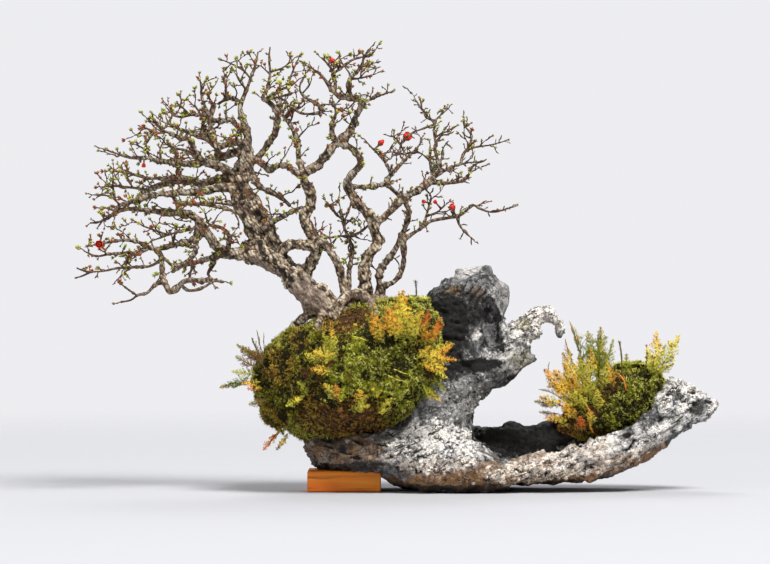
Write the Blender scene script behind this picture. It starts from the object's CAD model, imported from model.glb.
"""Root-over-rock bonsai: a dwarf flowering quince on a boat-shaped stone, dressed over its frame."""

import math
import random

import bmesh
import bpy
import numpy as np
from mathutils import Matrix, Quaternion, Vector, kdtree, noise
from mathutils.bvhtree import BVHTree


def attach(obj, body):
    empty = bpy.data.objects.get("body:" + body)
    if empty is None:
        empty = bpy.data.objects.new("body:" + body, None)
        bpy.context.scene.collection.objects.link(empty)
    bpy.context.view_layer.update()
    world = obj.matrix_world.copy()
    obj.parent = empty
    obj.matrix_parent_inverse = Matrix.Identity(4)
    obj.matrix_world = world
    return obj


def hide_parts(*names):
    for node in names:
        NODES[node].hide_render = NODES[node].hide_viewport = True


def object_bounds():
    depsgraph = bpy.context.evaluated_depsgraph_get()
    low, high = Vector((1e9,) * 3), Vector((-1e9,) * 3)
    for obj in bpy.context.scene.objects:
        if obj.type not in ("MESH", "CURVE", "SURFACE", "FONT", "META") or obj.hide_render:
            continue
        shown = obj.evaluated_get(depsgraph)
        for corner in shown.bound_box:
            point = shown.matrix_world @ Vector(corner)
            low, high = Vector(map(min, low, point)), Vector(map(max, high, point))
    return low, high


bl_info = {
    "name": "Root-over-rock bonsai",
    "version": (1, 0, 0),
    "blender": (4, 5, 0),
    "location": "View3D > Sidebar > Bonsai",
    "description": "Builds a flowering quince on its stone, with moss and spike-moss, over its frame",
    "category": "Object",
}

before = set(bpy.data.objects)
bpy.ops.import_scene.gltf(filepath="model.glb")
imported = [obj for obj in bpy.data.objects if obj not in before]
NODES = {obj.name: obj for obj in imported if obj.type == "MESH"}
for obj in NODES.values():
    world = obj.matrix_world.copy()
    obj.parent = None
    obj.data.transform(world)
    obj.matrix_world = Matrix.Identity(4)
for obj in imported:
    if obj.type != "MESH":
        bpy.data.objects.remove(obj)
FRAME_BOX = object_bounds()
MM = 0.001
SEED = 11

# The mounds: centre, front reach, back reach, and outline as (degrees, radius), in millimetres
MOUND_FORMS = {
    "left": ((-92, -12, 118), 84, 84, [
        (1, 101), (12, 102), (31, 110), (41, 113), (54, 96), (69, 82), (81, 79), (97, 72), (115, 67),
        (133, 71), (152, 77), (165, 84), (183, 97), (200, 97), (215, 99), (224, 94), (237, 87), (255, 76),
        (285, 72), (314, 78), (334, 86), (346, 95)]),
    "right": ((172, 2, 88), 41, 40, [
        (8, 53), (25, 62), (36, 62), (49, 55), (60, 46), (85, 37), (114, 30), (140, 33), (155, 38),
        (178, 50), (183, 53), (201, 64), (212, 73), (223, 62), (256, 42), (289, 38), (330, 40), (356, 44)]),
}
# How full the mounds' shoulders are: two would give an egg
MOUND_POWER = 2.5

# Paths of the limbs are read from a front view, taken from this distance at this x and height. It
# shows this width at the trunk, and the camera's sensor has this width, all in millimetres
VIEW_DISTANCE = 3750.0
VIEW_CENTRE = (-55.0, 208.0)
VIEW_WIDTH = 770.0
SENSOR_WIDTH = 36

# The trunk: base radius, tip radius, depth at its end, and its path seen from the front as (x, height)
TRUNK = (15.0, 12.0, -8, [(-100, 168), (-116, 185), (-128, 195), (-138, 204), (-147, 215), (-157, 224),
    (-168, 231), (-180, 235), (-190, 238), (-197, 237)])
TRUNK_DEPTH = -28
# The limbs: parent, and then the same numbers as for the trunk
LIMBS = {
    # stems that rise from the mound
    "root_plate": ("trunk", 11, 6, 2, [(-104, 172), (-92, 180), (-76, 186), (-62, 190), (-56, 188)]),
    "root_front": ("trunk", 6, 3, -66, [(-112, 180), (-118, 172), (-124, 160)]),
    "root_left": ("trunk", 6, 2.5, -20, [(-116, 184), (-134, 174), (-150, 160)]),
    "root_back": ("root_plate", 6, 3, 50, [(-92, 180), (-98, 184), (-104, 172)]),
    "stem_a": ("root_plate", 5, 3.8, -24, [(-94, 184), (-96, 204), (-100, 218), (-103, 228), (-109, 238),
        (-116, 247), (-124, 253)]),
    "stem_b": ("root_plate", 3, 1.4, 4, [(-90, 186), (-91, 204), (-91, 218), (-89, 230), (-88, 242),
        (-91, 252), (-95, 260), (-97, 270), (-100, 280)]),
    "stem_c": ("root_plate", 7.5, 3.6, -34, [(-76, 190), (-74, 202), (-75, 215), (-75, 225), (-72, 234),
        (-66, 241), (-62, 250), (-65, 260), (-68, 269), (-72, 276), (-78, 283), (-84, 290), (-90, 298),
        (-92, 305), (-90, 313), (-84, 320), (-79, 327), (-82, 335), (-89, 342), (-103, 348)]),
    "stem_d": ("root_plate", 3.6, 2.2, 8, [(-62, 190), (-61, 208), (-60, 219), (-54, 228), (-47, 237),
        (-42, 246), (-38, 255), (-34, 265), (-31, 278), (-36, 290)]),
    "stem_e": ("root_plate", 3.4, 0.8, -34, [(-58, 190), (-57, 203), (-48, 207), (-41, 214), (-37, 224),
        (-36, 236), (-36, 249), (-28, 256), (-20, 261), (-11, 268), (0, 271), (15, 273), (22, 276),
        (28, 281), (33, 285), (41, 281), (50, 278), (60, 279), (68, 282)]),
    "root_arch": ("stem_c", 5, 4.5, -58, [(-74, 200), (-82, 196), (-90, 195), (-97, 190), (-103, 182),
        (-108, 170)]),
    "root_arch_foot": ("root_arch", 4.5, 3.5, -62, [(-86, 196), (-76, 193), (-69, 186), (-64, 172)]),
    # the main trunk's crown
    "riser": ("trunk", 10, 4.5, 4, [(-176, 238), (-183, 250), (-187, 260), (-190, 270), (-193, 282),
        (-195, 296), (-197, 310), (-196, 325), (-192, 338), (-192, 350), (-194, 360)]),
    "riser_tip": ("riser", 4.5, 1.5, 12, [(-194, 360), (-197, 370), (-200, 382), (-196, 394), (-192, 404)]),
    "riser_twin": ("trunk", 6.5, 5, -4, [(-160, 238), (-165, 250), (-170, 260), (-176, 274), (-184, 288),
        (-193, 300)]),
    "riser_flank": ("riser", 8, 5, 8, [(-192, 272), (-201, 288), (-205, 302), (-204, 316), (-198, 330)]),
    "crown_right": ("riser", 5, 2.6, -22, [(-194, 324), (-184, 331), (-176, 340), (-170, 348), (-165, 357),
        (-163, 367), (-163, 378), (-169, 386), (-178, 392)]),
    "hub_a": ("crown_right", 1.6, 0.7, -30, [(-176, 391), (-160, 400), (-148, 405), (-141, 411)]),
    "hub_b": ("hub_a", 1.2, 0.7, -14, [(-152, 404), (-149, 414), (-143, 429)]),
    "hub_c": ("crown_right", 1.6, 0.7, -44, [(-174, 391), (-161, 393), (-147, 397)]),
    "hub_d": ("crown_right", 2.0, 0.8, 0, [(-177, 393), (-172, 404), (-170, 418), (-171, 430), (-170, 443)]),
    "hub_e": ("hub_d", 1.3, 0.7, -12, [(-170, 418), (-158, 422), (-147, 430)]),
    "hub_f": ("riser_tip", 1.8, 0.8, 20, [(-192, 404), (-188, 416), (-184, 428), (-182, 438)]),
    "hub_g": ("hub_f", 1.4, 0.7, 34, [(-190, 412), (-197, 420), (-206, 425), (-215, 429)]),
    "hub_h": ("riser_tip", 1.3, 0.7, -4, [(-194, 400), (-200, 408), (-204, 416)]),
    "hub_i": ("hub_j", 1.5, 0.8, 26, [(-213, 392), (-214, 403), (-216, 414)]),
    "hub_j": ("riser_tip", 2.2, 1.4, 30, [(-198, 386), (-205, 391), (-213, 391), (-222, 386)]),
    "bridge": ("crown_right", 4, 3.2, -30, [(-184, 330), (-176, 325), (-170, 320), (-162, 324), (-153, 324),
        (-146, 319), (-139, 315)]),
    "dark_limb": ("riser", 4.5, 1.8, -14, [(-190, 322), (-186, 312), (-180, 303), (-167, 297), (-156, 290),
        (-150, 284)]),
    "dark_branch": ("riser_twin", 4.5, 1.6, -34, [(-176, 262), (-167, 268), (-158, 273), (-147, 279),
        (-138, 283)]),
    "cross_bar": ("trunk", 6, 5.2, -32, [(-160, 236), (-150, 245), (-140, 246), (-122, 242)]),
    # the second stem, out of the trunk
    "second": ("trunk", 7, 4.8, -34, [(-138, 212), (-128, 228), (-123, 240), (-124, 250), (-132, 262),
        (-136, 273), (-130, 284), (-129, 293), (-131, 302), (-136, 310), (-134, 318), (-124, 323),
        (-116, 332), (-109, 341), (-103, 348)]),
    "second_top": ("second", 4.8, 1.1, -58, [(-103, 348), (-94, 354), (-88, 362), (-85, 372), (-79, 383),
        (-79, 390), (-88, 392), (-91, 401), (-90, 411), (-84, 417), (-78, 425), (-76, 433), (-70, 441)]),
    "top_twig_a": ("second_top", 1.5, 0.7, -70, [(-80, 389), (-70, 390), (-61, 394), (-52, 397)]),
    "top_twig_b": ("second_top", 1.4, 0.7, -40, [(-90, 411), (-79, 412), (-65, 416)]),
    "top_twig_c": ("second_top", 1.3, 0.8, -74, [(-78, 424), (-69, 423)]),
    "second_left": ("second", 3.4, 1.4, -8, [(-103, 347), (-108, 357), (-107, 368), (-104, 378),
        (-107, 388)]),
    "fan_stem": ("second_top", 3, 1.6, -46, [(-88, 392), (-98, 393), (-106, 398), (-112, 406), (-118, 414)]),
    "fan_a": ("fan_stem", 1.5, 0.7, -60, [(-118, 414), (-124, 419), (-132, 424)]),
    "fan_b": ("fan_stem", 2, 0.9, -22, [(-105, 397), (-105, 410), (-108, 420), (-114, 428), (-118, 432)]),
    "fan_c": ("fan_b", 1.6, 0.8, -34, [(-106, 416), (-95, 425), (-88, 430), (-78, 433)]),
    "red_stem": ("second", 3.6, 1.6, 16, [(-137, 315), (-141, 330), (-142, 344), (-145, 356), (-151, 367),
        (-158, 376), (-159, 386)]),
    "red_cross": ("red_stem", 1.7, 1.4, -6, [(-154, 372), (-148, 382), (-140, 377), (-128, 376),
        (-115, 379)]),
    "red_left": ("red_stem", 1.6, 0.8, 22, [(-158, 376), (-153, 388), (-162, 392)]),
    "red_right": ("red_cross", 2, 0.9, 12, [(-116, 379), (-123, 386), (-132, 391), (-139, 397), (-140, 405),
        (-135, 414)]),
    "twig_cluster_a": ("stem_b", 1.4, 0.8, -18, [(-97, 270), (-106, 278), (-113, 288)]),
    "twig_cluster_b": ("stem_b", 1.3, 0.8, 22, [(-96, 268), (-91, 280), (-88, 291)]),
    "twig_cross": ("stem_b", 1.7, 0.8, -14, [(-89, 254), (-80, 258), (-68, 268)]),
    "twig_back": ("stem_b", 1.5, 0.9, -20, [(-90, 254), (-100, 254), (-111, 252)]),
    # out of the third stem towards the right
    "right": ("stem_c", 4.8, 3, -14, [(-67, 266), (-56, 273), (-49, 279), (-42, 288), (-30, 296), (-20, 301),
        (-12, 307), (-6, 313)]),
    "right_a": ("right", 2.2, 0.8, -44, [(-12, 306), (-2, 307), (8, 307), (22, 309), (29, 316), (32, 323),
        (41, 329)]),
    "right_b": ("right", 2, 1, 10, [(-7, 312), (-9, 322), (-10, 332), (-10, 343)]),
    "right_c": ("right", 2.4, 0.8, -26, [(-6, 313), (0, 322), (-3, 332), (-5, 344), (0, 353), (6, 363)]),
    "right_d": ("right", 2.1, 0.8, -2, [(-4, 314), (6, 320), (15, 324), (26, 327), (37, 328)]),
    "right_e": ("right_d", 1.7, 0.7, 18, [(20, 326), (23, 335), (30, 346), (31, 356), (25, 364), (24, 373)]),
    "right_f": ("right_e", 1.3, 0.6, 30, [(26, 339), (36, 343), (50, 345), (65, 349)]),
    "right_g": ("right_c", 1.6, 0.7, 2, [(-5, 346), (-6, 360), (-4, 370), (2, 376), (8, 381)]),
    "right_h": ("right_g", 1.2, 0.7, 16, [(-5, 369), (-14, 373), (-17, 380), (-22, 386)]),
    "right_i": ("right_g", 1.2, 0.7, -18, [(-6, 366), (-18, 361), (-26, 358), (-33, 353)]),
    "middle": ("stem_c", 2.9, 2, 2, [(-91, 304), (-78, 303), (-66, 304), (-54, 305), (-46, 299),
        (-39, 292)]),
    "middle_a": ("middle", 2.6, 0.8, 36, [(-57, 305), (-51, 313), (-43, 322), (-35, 330), (-27, 338),
        (-20, 346), (-18, 351)]),
    "middle_b": ("middle_a", 1.4, 0.7, 50, [(-28, 337), (-40, 336), (-48, 338), (-55, 337)]),
    "middle_c": ("middle_a", 1.3, 0.7, 24, [(-28, 337), (-20, 337), (-10, 330)]),
    "middle_d": ("middle_a", 1.9, 0.7, 20, [(-49, 316), (-53, 325), (-60, 334), (-68, 342), (-75, 350)]),
    "middle_e": ("middle_a", 1.3, 0.7, 44, [(-33, 333), (-40, 346), (-46, 353), (-51, 354)]),
    "right_fork_a": ("stem_e", 1.3, 0.7, -48, [(16, 273), (20, 264), (27, 256), (34, 250)]),
    "right_fork_b": ("stem_e", 1.5, 0.8, -6, [(-20, 262), (-15, 270), (-12, 281), (-9, 293), (-14, 300)]),
    "right_fork_c": ("right_fork_b", 1.2, 0.7, -20, [(-13, 274), (-4, 277), (4, 284)]),
    # the low limbs on the left
    "low": ("trunk", 7.5, 5, -20, [(-195, 238), (-208, 236), (-217, 239), (-226, 247), (-232, 256),
        (-238, 264), (-243, 271)]),
    "low_a": ("low", 4.4, 0.8, -4, [(-241, 270), (-251, 276), (-264, 277), (-280, 278), (-297, 280),
        (-313, 281), (-324, 277), (-332, 272), (-341, 268), (-350, 267)]),
    "low_link": ("low_a", 2.4, 2, -26, [(-258, 277), (-263, 286), (-267, 295)]),
    "low_b": ("low", 4, 1, -54, [(-240, 254), (-248, 250), (-258, 247), (-270, 244), (-282, 241),
        (-292, 243), (-302, 248), (-314, 250), (-330, 248), (-346, 245)]),
    "low_b_lower": ("low_b", 2, 0.8, -76, [(-290, 242), (-300, 238), (-316, 237), (-330, 236), (-344, 234),
        (-356, 239)]),
    "low_c": ("low", 3.6, 1.4, -48, [(-242, 262), (-244, 248), (-245, 238), (-250, 231), (-258, 226),
        (-268, 225), (-276, 232)]),
    "low_d": ("low", 3.6, 1.6, 26, [(-214, 238), (-224, 234), (-236, 230), (-246, 227), (-258, 224),
        (-268, 218)]),
    "low_d_spur": ("low_d", 1.8, 1, 34, [(-247, 227), (-249, 219), (-251, 212)]),
    "low_e": ("low_b", 3, 2.8, -64, [(-285, 241), (-279, 234), (-278, 224), (-277, 211), (-273, 203),
        (-270, 198), (-263, 202), (-257, 208), (-248, 210), (-238, 209), (-229, 211)]),
    "low_e_loop": ("low_e", 1.8, 1.2, -44, [(-259, 205), (-253, 200), (-244, 200), (-234, 204), (-226, 209),
        (-216, 208)]),
    "low_f": ("low_e", 2, 0.8, -76, [(-277, 209), (-285, 205), (-293, 197), (-302, 195), (-309, 190),
        (-319, 188)]),
    "low_f_fork": ("low_f", 1.3, 0.8, -88, [(-303, 195), (-311, 200), (-319, 206)]),
    "low_g": ("low_d", 2.6, 1.5, -6, [(-226, 233), (-228, 224), (-232, 216), (-228, 210)]),
    "low_tip_a": ("low_e", 1.8, 0.7, -80, [(-279, 230), (-290, 224), (-306, 223), (-322, 222), (-336, 219),
        (-348, 218), (-358, 214), (-365, 212)]),
    "low_tip_b": ("low_tip_a", 1.2, 0.7, -90, [(-348, 218), (-356, 219), (-363, 222)]),
    "low_tip_c": ("low_tip_a", 1.2, 0.7, -66, [(-308, 223), (-315, 218), (-323, 210)]),
    "low_tip_d": ("low_b_lower", 1.3, 0.8, -62, [(-302, 238), (-311, 232), (-318, 224)]),
    "low_h": ("low", 2.8, 0.8, -52, [(-212, 240), (-211, 253), (-215, 260), (-222, 264), (-231, 266),
        (-235, 277)]),
    "low_h_fork": ("low_h", 1, 0.7, -40, [(-228, 265), (-222, 275)]),
    "low_i": ("low", 2, 0.8, -58, [(-240, 262), (-252, 260), (-262, 258), (-272, 255), (-283, 251),
        (-289, 249)]),
    "low_i_fork": ("low_i", 1.3, 0.7, -66, [(-272, 255), (-283, 259), (-297, 264)]),
    # the middle limbs on the left
    "mid_a": ("riser_flank", 5, 3, -38, [(-203, 302), (-218, 302), (-230, 300), (-246, 298), (-262, 297),
        (-278, 296), (-292, 294), (-302, 290)]),
    "mid_a_end": ("mid_a", 2.6, 0.8, -56, [(-302, 290), (-312, 287), (-321, 284), (-327, 277), (-334, 272)]),
    "mid_b": ("riser_flank", 5, 2.6, 44, [(-204, 312), (-218, 309), (-232, 307), (-246, 307), (-256, 309),
        (-268, 308), (-282, 304), (-292, 300), (-300, 295), (-303, 286)]),
    "mid_b_end": ("mid_b", 2, 0.8, 60, [(-292, 300), (-304, 302), (-314, 303), (-325, 304), (-338, 303)]),
    "mid_tip_a": ("mid_a_end", 1.4, 0.7, -74, [(-320, 285), (-327, 292), (-336, 295), (-349, 295)]),
    "mid_tip_b": ("mid_tip_a", 1.2, 0.7, -62, [(-324, 290), (-327, 302), (-327, 314)]),
    "mid_tip_c": ("mid_b_end", 1.2, 0.7, 40, [(-306, 302), (-311, 308), (-313, 316)]),
    "mid_c": ("riser_flank", 3.4, 0.8, 28, [(-205, 314), (-222, 312), (-236, 307), (-248, 311), (-262, 313),
        (-278, 312), (-293, 312), (-312, 317), (-330, 319)]),
    "mid_d": ("riser", 2.1, 0.8, -54, [(-192, 276), (-204, 278), (-216, 282), (-230, 284), (-245, 286),
        (-260, 286)]),
    "mid_e": ("riser_flank", 1.7, 0.8, -30, [(-202, 292), (-210, 286), (-224, 287), (-240, 287),
        (-252, 288)]),
    "mid_f": ("mid_c", 2, 0.9, 60, [(-260, 313), (-262, 326), (-263, 338), (-270, 346)]),
    # the upper limbs on the left
    "high_a": ("riser_flank", 6, 3.2, -20, [(-204, 314), (-216, 322), (-228, 326), (-238, 330), (-244, 336),
        (-247, 342)]),
    "high_b": ("riser", 5.5, 3, 16, [(-192, 340), (-202, 338), (-212, 335), (-224, 331), (-238, 327),
        (-254, 326), (-270, 328)]),
    "high_b_end": ("high_b", 2.8, 0.8, 34, [(-270, 328), (-282, 329), (-292, 332), (-302, 332), (-313, 333),
        (-325, 337), (-337, 341)]),
    "high_b_fork": ("high_b_end", 1.5, 0.7, 52, [(-288, 331), (-296, 341), (-306, 346)]),
    "high_b_spur": ("high_b_end", 1.3, 0.7, 14, [(-279, 329), (-280, 341), (-277, 347)]),
    "oval_low": ("riser", 3.8, 3.2, -6, [(-192, 344), (-202, 348), (-212, 346), (-222, 342)]),
    "high_c": ("high_b", 4.4, 2.6, 20, [(-223, 332), (-223, 342), (-226, 350), (-229, 360), (-230, 370),
        (-228, 379), (-226, 385)]),
    "high_c_side": ("high_c", 3, 1.6, 42, [(-226, 348), (-236, 354), (-237, 366), (-233, 376), (-235, 384)]),
    "oval_top": ("high_c", 2.7, 2.3, 8, [(-229, 370), (-218, 369), (-209, 370), (-203, 363), (-196, 358)]),
    "oval_twig": ("oval_top", 1.1, 0.7, -22, [(-199, 360), (-204, 356), (-209, 352), (-213, 349)]),
    "high_d": ("high_c", 2.2, 0.8, 4, [(-227, 377), (-240, 375), (-250, 375), (-260, 373), (-268, 376),
        (-272, 381)]),
    "high_d_fork": ("high_d", 1.3, 0.7, -14, [(-250, 375), (-256, 381), (-262, 386)]),
    "high_e": ("high_c_side", 1.8, 0.7, 52, [(-235, 382), (-238, 392), (-239, 402), (-240, 411)]),
    "high_f": ("high_c", 1.5, 0.8, 0, [(-226, 384), (-229, 389), (-232, 394)]),
    "high_g": ("high_c_side", 2.6, 0.9, 64, [(-232, 352), (-244, 354), (-254, 359), (-264, 362), (-270, 366),
        (-268, 375)]),
    "high_h": ("high_a", 2.8, 1.2, -42, [(-246, 340), (-250, 350), (-260, 352), (-270, 357), (-278, 360),
        (-283, 366), (-286, 371)]),
    "high_i": ("high_h", 1.5, 0.7, -56, [(-272, 357), (-282, 357), (-290, 360), (-297, 363)]),
    "high_j": ("high_i", 1.1, 0.7, -70, [(-286, 358), (-290, 352), (-294, 348)]),
    "high_k": ("high_h", 1.2, 0.7, -28, [(-278, 360), (-272, 366), (-274, 372)]),
    "high_l": ("high_a", 2, 0.8, -60, [(-244, 336), (-256, 340), (-266, 342), (-272, 346)]),
}
# Limbs that end above this height end this much deeper than the table says
CANOPY_FLOOR = 200
CANOPY_SPREAD = 1.25
# A path that starts this near its parent's centreline starts on it
MERGE_REACH = 3.0
# Twigs and spurs lean away from here
CANOPY_HEART = Vector((-165, 0, 300))

# Red blooms and buds: limb that bears it, place seen from the front, petal size, how far open
BLOOMS = {
    "bloom_top": ("fan_c", (-107, 428), 4.2, 0.25),
    "bloom_mid": ("middle_d", (-60, 346), 5.0, 0.35),
    "bloom_open": ("middle_e", (-36, 350), 6.0, 1.0),
    "bud_right_high": ("right_b", (-8, 341), 2.8, 0.0),
    "bud_right_low": ("right_fork_b", (-15, 288), 2.6, 0.0),
    "bud_right_fork": ("right_fork_c", (-4, 287), 2.6, 0.0),
    "bloom_right": ("stem_e", (13, 281), 5.0, 0.5),
    "bloom_left": ("low_b", (-340, 246), 5.2, 1.0),
    "bud_left_high": ("high_b_end", (-296, 326), 2.8, 0.0),
}

# Spike-moss clumps: mound, place seen from the front, side (-1 front, 1 back), colour, and
# fronds as (length, angle seen from the front in degrees, lean towards the viewer, curl in degrees)
CLUMPS = {
    "fern_yellow_left": ("left", (-104, 132), -1, "yellow", [(32, 112, 0.35, 10), (34, 160, 0.6, 20)]),
    "fern_low_left": ("left", (-136, 96), -1, "yellow", [(24, 218, 0.7, 15)]),
    "fern_centre_low": ("left", (-94, 106), -1, "green", [(24, 262, 0.8, 15)]),
    "fern_centre_right": ("left", (-66, 108), -1, "green", [(24, 290, 0.8, 15)]),
    "fern_crest": ("left", (-44, 152), -1, "gold", [
        (50, 84, 0.2, -12), (42, 122, 0.45, 15), (42, 48, 0.5, -18)]),
    "fern_red": ("left", (-20, 150), -1, "red", [(34, 96, 0.3, 10), (30, 52, 0.6, -12)]),
    "fern_shoulder": ("left", (-20, 128), -1, "gold", [(34, 30, 0.4, -25), (28, 338, 0.75, -20)]),
    "fern_hanging": ("left", (-16, 108), -1, "green", [(26, 286, 0.75, 10)]),
    "fern_left_edge": ("left", (-176, 130), -1, "brown", [(25, 112, 0.3, -10), (30, 156, 0.1, 15)]),
    "fern_left_droop": ("left", (-184, 108), -1, "green", [(36, 170, 0.1, 45)]),
    "fern_bottom": ("left", (-160, 60), -1, "red", [(22, 222, 0.2, 10)]),
    "fern_back_high": ("left", (-120, 160), 1, "green", [(30, 120, 0.3, 15), (28, 55, 0.6, -15)]),
    "fern_back_low": ("left", (-80, 110), 1, "gold", [(28, 205, 0.7, 20), (28, 330, 0.7, -20)]),
    "fern_tail_clump": ("right", (138, 92), -1, "gold", [
        (42, 128, 0.25, 20), (44, 101, 0.5, 5), (38, 158, 0.6, 25), (40, 70, 0.25, -8), (30, 215, 0.5, 20)]),
    "fern_tail_tall": ("right", (160, 104), 1, "green", [(56, 98, 0.1, 14), (50, 72, 0.4, 8)]),
    "fern_tail_right": ("right", (214, 116), -1, "yellow", [(44, 96, 0.1, 6), (46, 64, 0.3, -10)]),
    "fern_tail_back": ("right", (190, 108), 1, "gold", [(26, 120, 0.5, 20)]),
}
# Single fronds that grow between the clumps: mound and side (-1 front, 1 back), then for each frond
# its place seen from the front, colour, length, angle, lean and curl
SPRIGS = [
    ("left", -1, [
        (-106, 120, "gold", 26, 172, 0.4, 10), (-118, 130, "yellow", 20, 150, 0.4, 10),
        (-130, 98, "yellow", 19, 115, 0.4, 10), (-98, 90, "gold", 23, 98, 0.4, 5),
        (-90, 84, "yellow", 26, 24, 0.45, 10), (-76, 88, "yellow", 26, 106, 0.4, 5),
        (-50, 84, "yellow", 26, 136, 0.4, 10), (-106, 138, "yellow", 27, 92, 0.3, 5),
        (-62, 84, "yellow", 24, 70, 0.45, 5), (-104, 98, "gold", 20, 128, 0.4, 10),
        (-56, 148, "gold", 36, 118, 0.3, 10), (-38, 158, "yellow", 38, 100, 0.3, 0),
        (-48, 162, "gold", 36, 74, 0.3, -10), (-32, 148, "yellow", 32, 84, 0.4, 0),
        (-58, 158, "green", 26, 140, 0.3, 10), (-12, 146, "red", 30, 82, 0.3, -8),
        (-14, 138, "gold", 28, 22, 0.5, -20), (-22, 140, "gold", 26, 340, 0.6, -20),
        (-10, 124, "yellow", 21, 300, 0.7, -10), (-8, 132, "gold", 22, 350, 0.6, -10),
        (-26, 132, "yellow", 22, 60, 0.6, 0), (-10, 116, "green", 24, 275, 0.7, 10),
        (-20, 110, "green", 22, 262, 0.7, 10), (-174, 104, "red", 15, 178, 0.4, 10),
        (-172, 124, "brown", 26, 130, 0.3, 10), (-170, 134, "brown", 24, 168, 0.3, -15),
        (-170, 92, "brown", 18, 190, 0.4, 20), (-174, 136, "brown", 25, 112, 0.1, -20),
        (-178, 128, "brown", 27, 146, 0.1, 10), (-178, 122, "brown", 26, 158, 0.1, 20),
        (-172, 140, "brown", 18, 92, 0.1, -10), (-178, 116, "yellow", 26, 172, 0.1, 10),
        (-176, 110, "gold", 18, 186, 0.2, 10), (-152, 56, "brown", 14, 226, 0.2, 10),
        (-150, 60, "red", 16, 240, 0.5, 10), (-38, 176, "green", 22, 100, 0.3, 0),
        (-66, 170, "green", 16, 80, 0.4, 0),
    ]),
    ("left", 1, [
        (-60, 120, "yellow", 24, 100, 0.5, 10), (-140, 120, "gold", 24, 80, 0.5, 10),
        (-110, 90, "green", 22, 120, 0.5, 10),
    ]),
    ("right", -1, [
        (124, 84, "gold", 28, 158, 0.3, 25), (124, 74, "gold", 22, 195, 0.4, 20),
        (130, 94, "gold", 38, 138, 0.3, 15), (132, 84, "yellow", 34, 120, 0.4, 10),
        (140, 100, "gold", 42, 112, 0.2, 10), (146, 96, "yellow", 38, 96, 0.3, 0),
        (150, 104, "gold", 36, 84, 0.2, 0), (152, 90, "gold", 32, 106, 0.4, 0),
        (144, 80, "yellow", 30, 114, 0.5, 10), (136, 72, "gold", 28, 130, 0.5, 15),
        (156, 80, "yellow", 27, 90, 0.5, 0), (128, 64, "gold", 22, 120, 0.5, 10),
        (160, 98, "gold", 32, 76, 0.3, -10), (140, 62, "red", 24, 100, 0.5, 0),
        (150, 68, "gold", 22, 95, 0.6, 0), (122, 94, "gold", 38, 150, 0.2, 75),
        (119, 84, "brown", 24, 165, 0.2, 20), (119, 76, "brown", 20, 188, 0.3, 20),
        (118, 92, "brown", 22, 142, 0.2, 30), (148, 110, "green", 60, 101, 0.1, 8),
        (158, 112, "green", 50, 86, 0.1, 0), (166, 112, "yellow", 40, 74, 0.2, -10),
    ]),
    ("right", 1, [
        (140, 108, "yellow", 44, 118, 0.1, 15), (150, 100, "gold", 36, 96, 0.4, 0),
    ]),
    ("right", -1, [
        (172, 104, "red", 22, 104, 0.3, 0), (210, 116, "yellow", 30, 112, 0.1, 8),
        (184, 116, "green", 20, 90, 0.3, 0),
    ]),
    ("right", 1, [
        (170, 90, "yellow", 28, 80, 0.5, 0),
    ]),
]
# Rootlets and dry strands that lie on the mounds: mound, colour, width and places seen from the front
ROOTLETS = [
    ("right", "red", 0.9, [(143, 88), (149, 78), (148, 66), (152, 58)]),
    ("right", "red", 0.8, [(176, 118), (181, 110), (184, 100)]),
    ("right", "brown", 0.7, [(130, 80), (138, 70), (136, 60)]),
    ("left", "yellow", 0.45, [(-52, 117), (-44, 113), (-38, 112), (-32, 108)]),
    ("left", "yellow", 0.4, [(-46, 123), (-38, 119), (-32, 118)]),
    ("left", "brown", 0.45, [(-148, 108), (-144, 100), (-146, 90), (-142, 82)]),
    ("left", "brown", 0.45, [(-104, 90), (-98, 84), (-97, 75)]),
    ("left", "yellow", 0.45, [(-88, 156), (-80, 152), (-72, 151)]),
]
# Bare stems on the mounds: mound, place, side, height, lean across
STALKS = {
    "stalk_tail_tuft": ("right", (180, 118), -1, 30, -2),
    "stalk_tail_bare": ("right", (204, 124), -1, 20, 1),
    "stalk_stub": ("left", (-24, 182), 1, 26, 0),
}


class Shape:
    """Triangles, with marks: numbers for each point that the finishes read."""

    def __init__(self, points, corners, marks):
        self.points = points
        self.corners = corners
        self.marks = marks

    @classmethod
    def of(cls, bm):
        """The shape of a bmesh, which is freed. Its float layers become marks."""
        bmesh.ops.triangulate(bm, faces=bm.faces)
        bm.verts.index_update()
        points = np.array([v.co[:] for v in bm.verts], float).reshape(-1, 3)
        corners = np.array([[v.index for v in f.verts] for f in bm.faces], int).reshape(-1, 3)
        marks = {}
        for name in bm.verts.layers.float.keys():
            layer = bm.verts.layers.float[name]
            marks[name] = np.array([v[layer] for v in bm.verts], float)
        bm.free()
        return cls(points, corners, marks)


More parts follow.
